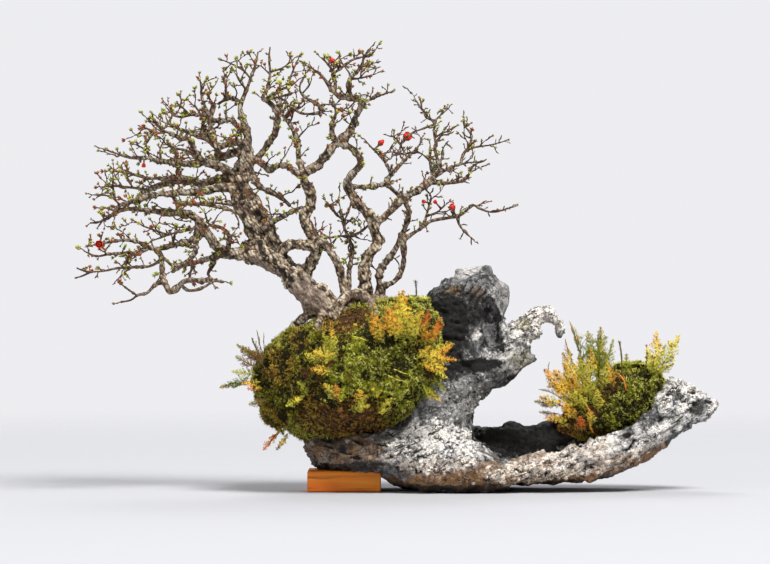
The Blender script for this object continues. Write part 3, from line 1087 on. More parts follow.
def block_finish():
    """Orange-brown sawn timber with its grain along the block."""
    made = Finish("bonsai_block", Roughness=0.6)
    grain = made.clouds(1.0, 6, 0.65, made.stretched((14, 160, 230)))
    rings = made.clouds(1.0, 3, 0.5, made.stretched((5, 60, 75)))
    colour = made.coats(
        (0.78, 0.17, 0.002),
        ((1.0, 0.42, 0.03), rings.rise(0.34, 0.66)),
        ((0.2, 0.055, 0.006), grain.rise(0.5, 0.66) * 0.7),
    )
    return made.done(colour, 0.5 + grain * 0.3, (grain, 0.0006, 0.6))


class BONSAI_OT_block(bpy.types.Operator):
    """Give the packing block its timber"""

    bl_idname = "bonsai.block"
    bl_label = "Packing block"

    def execute(self, context):
        slots = NODES["packing_block"].material_slots
        if not slots:
            raise RuntimeError("the packing block has no material slot")
        timber = block_finish()
        for slot in slots:
            slot.material = timber
        return {"FINISHED"}


def placed(x, z, depth):
    """The point at a depth that the front view shows at x and height."""
    grow = 1 + depth / VIEW_DISTANCE
    middle_x, middle_z = VIEW_CENTRE
    return Vector((middle_x + (x - middle_x) * grow, depth, middle_z + (z - middle_z) * grow))


def seen(point):
    """Where the front view shows a point, as x and height."""
    grow = 1 + point.y / VIEW_DISTANCE
    middle_x, middle_z = VIEW_CENTRE
    return middle_x + (point.x - middle_x) / grow, middle_z + (point.z - middle_z) / grow


def nearest_on(limb, spot):
    """The point of a limb's centreline that is seen nearest to an x and height."""
    points, _ = limb
    along = [a.lerp(b, k / 8) for a, b in zip(points, points[1:]) for k in range(9)]
    return min(along, key=lambda point: math.dist(seen(point), spot))


def grow_limbs():
    """Centrelines and radii of every named limb, each started on its parent's centreline."""
    rng = random.Random(SEED)
    grown = {}

    def lay(name, path, base_radius, tip_radius, base_depth, tip_depth):
        lengths = [0.0]
        for (x0, z0), (x1, z1) in zip(path, path[1:]):
            lengths.append(lengths[-1] + math.hypot(x1 - x0, z1 - z0))
        points, radii = [], []
        for i, (x, z) in enumerate(path):
            t = lengths[i] / lengths[-1]
            sway = rng.uniform(-1.6, 1.6) if i else 0.0
            points.append(placed(x, z, base_depth + (tip_depth - base_depth) * t ** 1.1 + sway))
            radii.append(base_radius + (tip_radius - base_radius) * t)
        grown[name] = (points, radii)

    base_radius, tip_radius, depth, path = TRUNK
    lay("trunk", path, base_radius, tip_radius, TRUNK_DEPTH, depth)
    waiting = dict(LIMBS)
    while waiting:
        ready = [name for name, row in waiting.items() if row[0] in grown]
        for name in ready:
            parent, base_radius, tip_radius, depth, path = waiting.pop(name)
            depth *= CANOPY_SPREAD if path[-1][1] > CANOPY_FLOOR else 1.0
            start = nearest_on(grown[parent], path[0])
            first = seen(start)
            if math.dist(path[0], first) < MERGE_REACH:
                path = path[1:]
            lay(name, [first] + list(path), base_radius, tip_radius, start.y, depth)
    return grown


def spur_shape(rng):
    """A short gnarled spur along z, about ten millimetres long, with a swollen bud end."""
    reach = rng.uniform(0.75, 1.15)
    points, radii = [Vector((0, 0, -0.8))], [1.0]
    spot = Vector((0, 0, 0))
    for k in range(3):
        spot = spot + Vector((rng.uniform(-1.3, 1.3), rng.uniform(-1.3, 1.3), 3.0 * reach))
        points.append(spot)
        radii.append((0.65, 0.95, 0.75)[k] * rng.uniform(0.85, 1.15))
    points.append(spot + Vector((rng.uniform(-0.3, 0.3), 0, 1.6)))
    radii.append(0.12)
    return tube_shape(points, radii, 4), points


def leaf_shape():
    """One small folded leaf along z, one long before it is scaled."""
    bm = spike(0.36, 0.62, 0.69)
    foot = [f for f in bm.faces if f.calc_center_median().z < 0.4]
    bmesh.ops.poke(bm, faces=foot)["verts"][0].co = Vector((0, 0, 0))
    bmesh.ops.scale(bm, verts=bm.verts, vec=(1.0, 0.45, 1.0))
    mark_tips(bm)
    bmesh.ops.recalc_face_normals(bm, faces=bm.faces)
    return Shape.of(bm)


def leaf_cluster(leaf, rng):
    """A handful of leaves that open out of one bud, a few millimetres long."""
    heap = Heap("tip")
    count = rng.randint(3, 6)
    for k in range(count):
        turn = spun(2 * math.pi * (k + rng.uniform(-0.2, 0.2)) / count, "Z")
        lean = spun(rng.uniform(0.2, 0.9), "X")
        heap.add(leaf, turn @ lean @ Matrix.Scale(rng.uniform(2.8, 5.0) * MM, 4))
    return heap.shape()


def within_frame(point):
    """Whether a point, in millimetres, lies clear inside the frame's box."""
    low, high = FRAME_BOX
    return all(a / MM + 2.5 < c < b / MM - 2.5 for a, c, b in zip(low, point, high))


# Limbs that bear neither twigs nor spurs, by the start of their names
BARE_LIMBS = ("trunk", "root", "riser", "cross_bar")
# Radius from which wood has bark plates, and those from which twigs and spurs don't grow
THICK_LIMB = 3.4
TWIGLESS_LIMB = 4.5
SPURLESS_LIMB = 6.0
# Heights under which neither grows on the left, and on the right of the middle stems
SPUR_FLOORS = (212.0, 240.0)
TWIG_FLOORS = (232.0, 262.0)
RIGHT_STEMS = -45
# The canopy right of this x has smaller and fewer leaves, and the stem between these x and heights
# stays green
BARER_SIDE = -70
GREEN_STEM = ((-14, 4), (300, 400))


def above(floors, start):
    """Whether a place on a limb is above the lower branches, which stay bare."""
    return start.z >= floors[0] and (start.x <= RIGHT_STEMS or start.z >= floors[1])


def places_along(points, radii, step, wander, rng):
    """Places along a limb, about a step apart, with the limb's direction and radius there."""
    first, low, high = wander
    travelled = rng.uniform(first, 1.0) * step
    for a, b, radius in zip(points, points[1:], radii):
        length = (b - a).length
        while travelled < length:
            start = a.lerp(b, travelled / length)
            travelled += step * rng.uniform(low, high)
            yield start, (b - a).normalized(), radius
        travelled -= length


def twig_paths(grown, step):
    """Side twigs of the thin limbs, as lists of points, by a seeded rule."""
    rng = random.Random(SEED + 2)
    twigs = []
    for name, (points, radii) in grown.items():
        if name.startswith(BARE_LIMBS):
            continue
        for start, along, radius in places_along(points, radii, step, (0.3, 0.7, 1.4), rng):
            if radius > TWIGLESS_LIMB or not above(TWIG_FLOORS, start):
                continue
            out = (start - CANOPY_HEART).normalized() * 0.45
            stray = Vector((rng.uniform(-1, 1), rng.uniform(-1, 1), rng.uniform(-0.5, 1.0)))
            way = (out + stray.normalized() * 0.8 + along * 0.35).normalized()
            path, spot = [start], start
            for _ in range(rng.randint(2, 4)):
                kink = Vector((rng.uniform(-1, 1), rng.uniform(-1, 1), rng.uniform(-0.7, 1.0))) * 0.75
                way = (way + kink).normalized()
                spot = spot + way * rng.uniform(4.0, 7.5)
                if within_frame(spot):
                    path.append(spot)
            if len(path) > 2:
                twigs.append((path, min(radius * 0.7, 1.15)))
    return twigs


# Size of the faces that the old wood is cut into
WOOD_FACES = 1.25 * MM
# Smooth stretches of old bark: x, height, half width, half height and turn in degrees
SLEEK_BARK = [(-131, 194, 25, 15, -38), (-72, 184, 24, 13, -15), (-176, 224, 20, 5, -30)]


def bark_relief(station_at):
    """Relief of old bark: plates and fissures that grow with the limb's radius, knots and burls."""
    def relief(p, normal):
        girth, way = station_at(p)
        depth = ease(girth, 2.0, 11.0)
        along = p.dot(way)
        flat = p - way * along
        plates = noise.voronoi(flat / 4.4 + way * (along / 9.5))[0]
        flakes = noise.voronoi(flat / 2.3 + way * (along / 4.5))[0]
        knots = noise.voronoi(p / 11 + Vector((1, 2, 3)))[0]
        lift = (0.5 + 1.7 * depth) * (min(1.0, (plates[1] - plates[0]) * 1.7) - 0.6)
        lift += (0.3 + 0.6 * depth) * (min(1.0, (flakes[1] - flakes[0]) * 1.5) - 0.5)
        lift += (1.1 + 1.6 * depth) * noise.noise(p / 7) + 0.4 * noise.noise(p / 2.4)
        height = lift
        lift += (1.3 + 1.2 * depth) * (0.42 - knots[0])
        near = min(patch_reach(p, *row) for row in SLEEK_BARK) + 0.3 * noise.noise(p / 5)
        sleek = (1 - ease(near, 0.7, 1.1)) * ease(-p.y, -4.0, 2.0)
        return lift * (1 - 0.65 * sleek), girth, height, sleek
    return relief


def bark_finish(look):
    """Bark that flakes pale on old wood and is dark and reddish on twigs."""
    made = Finish("bonsai_bark", Roughness=0.75)
    girth, height, sleek = (made.mark(name) for name in ("girth", "height", "sleek"))
    broad = made.clouds(60, 5, 0.65)
    lean = made.stretched((360, 360, 170), (0.0, -0.55, 0.0))
    flakes = made.cells(lean)
    fine = made.clouds(1.0, 4, 0.75, lean)
    thin = girth.rise(0.6, 2.2)
    flaking = ((1 - flakes.rise(0.3, 0.62)) * fine.rise(0.36, 0.56)).kept()
    young = made.coats(
        look.twig_bark,
        (look.dark_bark, broad.rise(0.42, 0.62) * 0.7),
        (look.pale_bark * 0.62, flaking * thin * (0.4 + broad.rise(0.35, 0.6) * 0.5)),
    )
    aged = made.coats(
        look.inner_bark,
        (look.pale_bark, height.rise(-0.5, 0.8) * 0.55 + flaking * 0.6),
        (look.pale_bark * 0.4, broad.rise(0.5, 0.66) * 0.45),
        (made.mix((0.2, 0.13, 0.1), (0.42, 0.32, 0.24), fine.rise(0.4, 0.62)), sleek * 0.85),
    )
    cracks = (1 - height.rise(-1.6, -0.1)) + flakes.rise(0.5, 0.78) * 0.75 + (1 - fine.rise(0.34, 0.46)) * 0.7
    colour = made.coats(
        young,
        (aged, girth.rise(1.6, 8.0)),
        ((0.016, 0.009, 0.005), cracks * (0.35 + thin * 0.65) * (1 - sleek * 0.6)),
    )
    return made.done(colour, 0.5 + fine * 0.4, (fine - flakes * 0.7, 0.0013, 1.0))


def leaf_finish(look):
    """Small new leaves, green with a yellow or reddish tip."""
    made = Finish("bonsai_leaf", Roughness=0.45)
    tip, tone = made.mark("tip"), made.mark("tone")
    fresh = made.coats(
        (0.3, 0.15, 0.025),
        (look.leaf, tone.rise(0.3, 0.55)),
        ((0.6, 0.64, 0.1), tone.rise(0.65, 0.95)),
    )
    return made.done(made.coats(
        (0.24, 0.1, 0.02),
        (fresh, tip.rise(0.1, 0.8)),
        ((0.36, 0.07, 0.02), (1 - tone.rise(0.19, 0.33)) * 0.85),
        ((0.1, 0.11, 0.02), (1 - made.clouds(700, 2).rise(0.3, 0.5)) * 0.5),
    ))


class BONSAI_OT_tree(bpy.types.Operator):
    """Grow the tree's wood with flaking bark, its twigs, its spurs and its opening leaves"""

    bl_idname = "bonsai.tree"
    bl_label = "Tree"

    def execute(self, context):
        look = context.scene.bonsai_tree
        grown = grow_limbs()
        bark = bark_finish(look)
        twigs = twig_paths(grown, look.twig_step / MM)
        stations, wood, limbs = [], Heap("girth"), Heap("girth", "height")
        rng = random.Random(SEED + 3)
        for name, (points, radii) in grown.items():
            points, radii = rounded(points, radii, 3.0)
            stout = 1.22 if name.startswith("root") else 1.0
            radii = [r * stout * (1 + 0.24 * noise.noise(p / 9)) for p, r in zip(points, radii)]
            stations += zip(points, radii, ways_of(points))
            thick = sum(r > THICK_LIMB for r in radii)
            if thick > 1:
                wood.add(tube_shape(points[:thick + 2], radii[:thick + 2], 14))
            if thick < len(points):
                first = max(0, thick - 3)
                limbs.add(knotted_limb(points[first:], radii[first:], rng))
        for path, radius in twigs:
            radii = [radius * (1 - 0.62 * k / (len(path) - 1)) for k in range(len(path))]
            points, radii = rounded(path, radii, 2.5)
            stations += list(zip(points, radii, ways_of(points)))[3:]
            limbs.add(knotted_limb(points, radii, rng))
        for start, _, centre, *_ in bloom_spots(grown).values():
            limbs.add(tube_shape([start, start.lerp(centre, 0.5), centre], [1.2, 0.9, 0.8], 6))
        tree = kdtree.KDTree(len(stations))
        for k, (point, _, _) in enumerate(stations):
            tree.insert(point, k)
        tree.balance()

        def station_at(p):
            return stations[tree.find(p)[1]][1:]

        mesh = remeshed(wood.mesh("old_wood"), WOOD_FACES, 1)
        carve(mesh, bark_relief(station_at), "girth", "height", "sleek")
        finish_piece("tree_old_wood", mesh, bark, "bark", "tree")
        lines = [line for name, line in grown.items() if not name.startswith(BARE_LIMBS)]
        lines += [(path, [radius] * len(path)) for path, radius in twigs]
        leaves = self.spurs(lines, look.spur_step / MM, limbs)
        finish_piece("tree_limbs", limbs, bark, "bark")
        finish_piece("tree_leaves", leaves, leaf_finish(look), "frond_green")
        return {"FINISHED"}

    def spurs(self, lines, step, limbs):
        """Spurs all along the limbs, each with a cluster of leaves."""
        rng = random.Random(SEED + 4)
        spurs = [spur_shape(rng) for _ in range(12)]
        leaf = leaf_shape()
        clusters = [leaf_cluster(leaf, rng) for _ in range(10)]
        leaves = Heap("tip", "tone")
        for points, radii in lines:
            ends = [(points[-1], (points[-1] - points[-2]).normalized(), 0.8)]
            for start, way, radius in places_along(points, radii, step, (0.2, 0.6, 1.5), rng):
                if radius > SPURLESS_LIMB or not above(SPUR_FLOORS, start):
                    continue
                out = way.orthogonal().normalized()
                out.rotate(Quaternion(way, rng.uniform(0, 2 * math.pi)))
                lean = out + way * rng.uniform(0.1, 0.8) + Vector((0, 0, 0.35))
                lean += (start - CANOPY_HEART).normalized() * 0.3
                ends.append((start, lean.normalized(), rng.uniform(0.35, 0.95)))
            for start, way, size in ends:
                if not within_frame(start + way * 9 * size):
                    continue
                shape, line = spurs[rng.randrange(len(spurs))]
                base = stood(start, way) @ spun(rng.uniform(0, 2 * math.pi), "Z") @ Matrix.Scale(size, 4)
                limbs.add(shape, base)
                tone = rng.random()
                right_side = start.x > BARER_SIDE
                seen_at = zip((start.x, start.z), GREEN_STEM)
                green_stem = all(low < place < high for place, (low, high) in seen_at)
                bare_share = 0.1 if green_stem else 0.58 if right_side else 0.26
                for spot in (line[-1], line[rng.choice((2, 3))]):
                    if rng.random() < bare_share:
                        continue
                    lean = spun(rng.uniform(-0.7, 0.7), "X") if spot is not line[-1] else Matrix()
                    local = Matrix.Translation(spot * MM - Vector((0, 0, 0.0006))) @ lean
                    cluster = clusters[rng.randrange(len(clusters))]
                    large = rng.uniform(0.6, 1.3) * (0.75 if right_side else 1.0) / size ** 0.5
                    place = base @ local @ Matrix.Scale(large, 4)
                    leaves.add(cluster, place, tone=0.8 if green_stem else tone)
        return leaves


def knotted_limb(points, radii, rng):
    """A thin limb with swellings where old spurs sat."""
    swollen = []
    for p, r in zip(points, radii):
        swell = 0.95 + 0.36 * noise.noise(p / 4.5) + (0.4 if rng.random() < 0.2 else 0.0)
        swollen.append(max(0.35, r * swell))
    return tube_shape(points, swollen, 5 if swollen[0] < 1.8 else 8)


def bloom_spots(grown):
    """Start on the limb, stalk direction and centre of each bloom."""
    spots = {}
    for name, (limb, spot, size, openness) in BLOOMS.items():
        start = nearest_on(grown[limb], spot)
        way = placed(*spot, start.y) - start
        way += Vector((0, -max(3.0, 0.5 * way.length), 0))
        stalk = way.normalized()
        reach = max(way.length, size + 3.0)
        spots[name] = (start, stalk, start + stalk * reach, size, openness)
    return spots


def petal_shape(size, cup):
    """One cupped round petal that rises along z and faces inwards, on its claw."""
    bm = bmesh.new()
    bmesh.ops.create_grid(bm, x_segments=5, y_segments=6, size=0.5)
    for v in bm.verts:
        across, along = v.co.x * 2, v.co.y + 0.5
        width = 0.16 + 0.62 * math.sin(math.pi * min(1.0, along ** 0.8) * 0.92)
        crown = along - 0.1 * across * across * along
        hollow = cup * (0.42 * along * along + 0.2 * across * across * along)
        v.co = Vector((across * width * 0.62, -hollow, crown)) * size
    bmesh.ops.solidify(bm, geom=list(bm.faces), thickness=0.05 * size)
    mark_tips(bm, size)
    bmesh.ops.recalc_face_normals(bm, faces=bm.faces)
    return Shape.of(bm)


def petal_finish(look):
    """Satin scarlet petals, deeper at the claw."""
    made = Finish("bonsai_petal", Roughness=0.42)
    tip = made.mark("tip")
    veins = made.clouds(1.0, 3, 0.6, made.stretched((1500, 1500, 240)))
    colour = made.coats(
        look.petal * 0.45,
        (look.petal, tip.rise(0.0, 0.5)),
        ((0.85, 0.13, 0.05), veins.rise(0.45, 0.7) * tip * 0.6),
    )
    return made.done(colour, bump=(veins, 0.0002, 0.4))


def stamen_finish():
    """Yellow anthers on pale threads."""
    made = Finish("bonsai_stamen", Roughness=0.6)
    return made.done(made.mix((0.75, 0.55, 0.3), (0.85, 0.55, 0.05), made.mark("tip").rise(0.6, 0.9)))


def calyx_finish():
    """Green calyx with a brown flush."""
    made = Finish("bonsai_calyx", Roughness=0.55)
    return made.done(made.mix((0.2, 0.2, 0.05), (0.3, 0.07, 0.03), made.clouds(300, 3).rise(0.4, 0.6)))


# Calyx of a bloom: places along the stalk and radii, as shares of the bloom's size. Then the numbers
# of petals in a ring and of stamens
CALYX = [(-0.62, 0.16), (-0.45, 0.3), (-0.2, 0.36), (-0.1, 0.3)]
PETALS = 5
STAMENS = 14


class BONSAI_OT_blooms(bpy.types.Operator):
    """Open the blooms and buds on their stalks"""

    bl_idname = "bonsai.blooms"
    bl_label = "Blooms"

    def execute(self, context):
        scarlet, yellow, green = petal_finish(context.scene.bonsai_tree), stamen_finish(), calyx_finish()
        rng = random.Random(SEED + 5)
        for name, (_, stalk, centre, size, openness) in bloom_spots(grow_limbs()).items():
            base = stood(centre, stalk)
            petals = Heap("tip")
            petal = petal_shape(size * (1.25 if openness else 1.5) * MM, 0.9 if openness else 1.0)
            flare = math.radians(16 + 34 * openness if openness else -2)
            claw = Matrix.Translation((0, -0.16 * size * MM, -0.25 * size * MM))
            for k in range(2 * PETALS if openness > 0 else PETALS + 1):
                inner = k >= PETALS
                turn = spun(2 * math.pi * (k + 0.5 * inner + rng.uniform(-0.1, 0.1)) / PETALS, "Z")
                lean = spun(flare * (0.6 if inner else 1.0), "X")
                inwards = spun(math.pi, "Z") @ Matrix.Scale(0.8 if inner else 1.0, 4)
                petals.add(petal, base @ turn @ claw @ lean @ inwards)
            finish_piece(name + "_petals", petals, scarlet, "petal", name)
            cup = Heap("tip")
            line, radii = zip(*((centre + stalk * z * size, r * size) for z, r in CALYX))
            cup.add(tube_shape(line, radii, 8))
            finish_piece(name + "_calyx", cup, green, "frond_green")
            if openness > 0.3:
                finish_piece(name + "_stamens", self.stamens(base, size, rng), yellow, "frond_yellow")
        return {"FINISHED"}

    def stamens(self, base, size, rng):
        """A brush of stamens in an open bloom."""
        heap = Heap("tip")
        for _ in range(STAMENS):
            lean = Vector((rng.uniform(-0.3, 0.3), rng.uniform(-0.3, 0.3), 1)).normalized() * size * 0.62
            foot = Vector((lean.x * 0.4, lean.y * 0.4, -0.2 * size))
            shape = tube_shape([foot, lean * 0.8, lean * 0.95, lean], [0.1, 0.09, 0.24, 0.05], 4)
            shape.marks["tip"] = shape.points[:, 2] / (0.62 * size * MM)
            heap.add(shape, base)
        return heap


class Mound:
    """A soil mound, whose surface is a radius for each direction from its centre."""

    def __init__(self, centre, front, back, outline):
        self.centre = Vector(centre)
        self.front = front
        self.back = back
        self.outline = sorted(outline)

    def seen_radius(self, degrees):
        """Radius of the outline seen from the front, eased between its points."""
        table = self.outline
        degrees %= 360
        after = next((i for i, (angle, _) in enumerate(table) if angle > degrees), 0)
        (a0, r0), (a1, r1) = table[after - 1], table[after]
        return r0 + (r1 - r0) * ease(((degrees - a0) % 360) / ((a1 - a0) % 360), 0.0, 1.0)

    def radius(self, way):
        """Radius in one direction, in millimetres."""
        flat = math.hypot(way.x, way.z)
        seen_radius = self.seen_radius(math.degrees(math.atan2(way.z, way.x)))
        reach = self.front if way.y < 0 else self.back
        total = (flat / seen_radius) ** MOUND_POWER + (abs(way.y) / reach) ** MOUND_POWER
        lumpy = 1 + 0.035 * noise.noise(way * 3.1 + self.centre * 0.01)
        return lumpy * total ** (-1 / MOUND_POWER)

    def spot(self, x, z, side):
        """The point of the surface that is seen at x and z, on the front or the back."""
        target = Vector((x - self.centre.x, 0, z - self.centre.z))
        low, high = 0.0, math.pi / 2
        for _ in range(30):
            tilt = (low + high) / 2
            way = target.normalized() * math.cos(tilt) + Vector((0, side * math.sin(tilt), 0))
            if self.radius(way) * math.cos(tilt) > target.length:
                low = tilt
            else:
                high = tilt
        return self.centre + way * self.radius(way)

    def stance(self, x, z, side):
        """The point that is seen at x and z, and the outward normal there."""
        spot = self.spot(x, z, side)
        return spot, self.normal(spot)

    def normal(self, point):
        """Outward normal at a point of the surface."""
        way = (point - self.centre).normalized()
        u = way.orthogonal().normalized()
        v = way.cross(u)
        here = [(way + d * 0.02).normalized() for d in (u, -u, v, -v)]
        p = [d * self.radius(d) for d in here]
        normal = (p[0] - p[1]).cross(p[2] - p[3]).normalized()
        return normal if normal.dot(way) > 0 else -normal


MOUNDS = {name: Mound(*form) for name, form in MOUND_FORMS.items()}
# What each tuft of the pile carries for its colour
PILE_MARKS = ("tip", "tone", "hollow", "brown", "light")
# Moss sheets: the mound, and how fresh the moss is, from old olive to young green
MOSS_SHEETS = {
    "moss_left": ("left", 0.1),
    "moss_cushion": ("left", 0.85),
    "moss_shoulder": ("left", 0.6),
    "moss_back_left": ("left", 0.2),
    "moss_back_right": ("left", 0.55),
    "moss_tail_front": ("right", 0.75),
    "moss_tail_top": ("right", 0.6),
}


# Stains of the moss, for each kind: x, height, half width and half height as the front shows them, strength
MOSS_STAINS = {
    "brown": [
        (-160, 125, 20, 20, 0.5), (-165, 72, 15, 16, 0.4), (-125, 80, 18, 24, 0.5), (-91, 77, 34, 20, 0.95),
        (-62, 58, 18, 12, 1.0), (-100, 168, 26, 12, 0.7), (127, 65, 18, 18, 0.9), (150, 56, 16, 10, 0.4),
        (-140, 150, 10, 14, 0.5),
    ],
    "dark": [
        (-122, 115, 17, 10, 0.8), (-178, 130, 12, 30, 0.6), (170, 105, 13, 9, 1.0), (210, 88, 10, 8, 0.6),
        (-40, 122, 8, 18, 0.5), (155, 72, 14, 16, 0.6), (-148, 100, 12, 12, 0.5), (-20, 96, 10, 12, 0.5),
        (-84, 176, 16, 9, 0.9),
    ],
    "lime": [
        (-82, 140, 26, 15, 0.7), (-55, 105, 30, 16, 0.9), (-30, 76, 16, 14, 0.6), (-142, 178, 24, 9, 0.6),
        (220, 118, 22, 13, 1.0), (190, 76, 18, 14, 0.5), (-15, 190, 20, 8, 0.5), (-100, 118, 12, 10, 0.5),
        (-110, 186, 12, 7, 0.8), (-38, 196, 12, 12, 0.9),
    ],
}


def moss_stains(p):
    """How brown the moss is at a point, and how light, from minus one to one."""
    edge = 0.35 * noise.noise(p / 9) + 0.2 * noise.noise(p / 3.5)
    found = {
        kind: max(
            most * (1 - ease(math.hypot((p.x - x) / wide, (p.z - z) / high) + edge, 0.6, 1.15))
            for x, z, wide, high, most in rows)
        for kind, rows in MOSS_STAINS.items()}
    return found["brown"], found["lime"] - found["dark"]


def moss_relief(mound):
    """Cushions and dimples on the outer side of a moss sheet, with its stains."""
    def relief(p, normal):
        outward = Vector(normal).dot((p - mound.centre).normalized())
        cushions = noise.voronoi(p / 17)[0]
        lift = 3.6 * (0.5 - cushions[0]) + 2.2 * noise.noise(p / 15)
        lift += 2.0 * noise.noise(p / 6.5) + 0.7 * noise.noise(p / 2.8)
        return lift * ease(outward, -0.1, 0.4), ease(-lift, -0.4, 2.4), *moss_stains(p)
    return relief


def tuft_shape(rng, blades, spread):
    """A tuft of slim closed blades, one millimetre tall before it is scaled."""
    heap = Heap("tip")
    bm = spike(0.15, 1, 0.5)
    mark_tips(bm)
    blade = Shape.of(bm)
    for k in range(blades):
        turn = spun(2 * math.pi * (k + rng.uniform(-0.3, 0.3)) / blades, "Z")
        lean = spun(rng.uniform(0.15, spread), "X")
        heap.add(blade, turn @ lean @ Matrix.Scale(rng.uniform(0.7, 1.1), 4))
    return heap.shape()


def moss_finish(look, name, fresh):
    """Moss from shaded floor to bright tips."""
    made = Finish(name, Roughness=0.8, Specular_IOR_Level=0.15)
    tip, tone, hollow, brown, light = (made.mark(mark) for mark in PILE_MARKS)
    broad, fine = made.clouds(38), made.clouds(260, 3)
    body = look.olive * (1 - fresh) + look.fresh * fresh
    lime = 0.3 + 0.7 * fresh
    tips = look.olive * (1 - lime) + look.lime * lime
    flecks = tone.rise(0.25, 0.85) * tip.rise(0.12, 0.65) * (1.1 + fresh * 0.3 + light * 0.6 - brown * 0.35)
    clump = made.clouds(130, 3).rise(0.5, 0.62) * tip.rise(0.1, 0.6)
    return made.done(made.coats(
        body,
        (look.olive * 0.45, broad.rise(0.46, 0.64) * 0.85),
        (tips, flecks),
        (tips, clump * (0.55 + light * 0.5 - brown * 0.4)),
        ((0.24, 0.11, 0.015), (1 - broad.rise(0.28, 0.42)) * 0.7),
        (look.brown, brown * (1.2 - tone * 0.6)),
        (look.deep, hollow + (1 - tip.rise(0.0, 0.6)) * 0.75 - light * 0.4),
        (look.deep, (1 - fine.rise(0.38, 0.5)) * 0.85),
    ), bump=(fine, 0.0015, 0.6))


def soil_finish(look):
    """Dark peaty soil with fibres and lighter crumbs."""
    made = Finish("bonsai_soil", Roughness=0.9, Specular_IOR_Level=0.2)
    broad, fine = made.clouds(60, 5, 0.65), made.clouds(500, 4, 0.7)
    return made.done(made.coats(
        look.soil * 0.3,
        (look.soil, broad.rise(0.36, 0.6)),
        ((0.13, 0.045, 0.012), made.clouds(90, 3).rise(0.52, 0.66) * 0.6),
        (look.soil * 2.6, fine.rise(0.56, 0.7) * 0.6),
    ), bump=(fine, 0.0015, 1.0))


# Patches where the soil shows through: x, height, half width and half height as the front shows them
BARE_EARTH = [(-92, 76, 34, 16), (-62, 58, 20, 12), (-84, 172, 22, 9), (128, 66, 16, 16), (172, 106, 12, 9)]


def bare_earth(p):
    """How bare the soil is at a point, from nothing to one."""
    near = min(math.hypot((p.x - x) / wide, (p.z - z) / high) for x, z, wide, high in BARE_EARTH)
    return 1 - ease(near + 0.3 * noise.noise(p / 7), 0.7, 1.15)


def soil_relief(p, normal):
    """Crumbs and hollows of the soil."""
    lift = 1.6 * noise.noise(p / 9) + 1.2 * noise.noise(p / 4.2) + 0.5 * noise.noise(p / 2)
    return min(lift, 0.6), ease(-lift, 0.1, 1.2)


# Sizes of the faces that sheets and soil are cut into, and how far off a sheet covers the soil
SHEET_FACES = 2.5 * MM
SOIL_FACES = 2.9 * MM
COVER_REACH = 12 * MM


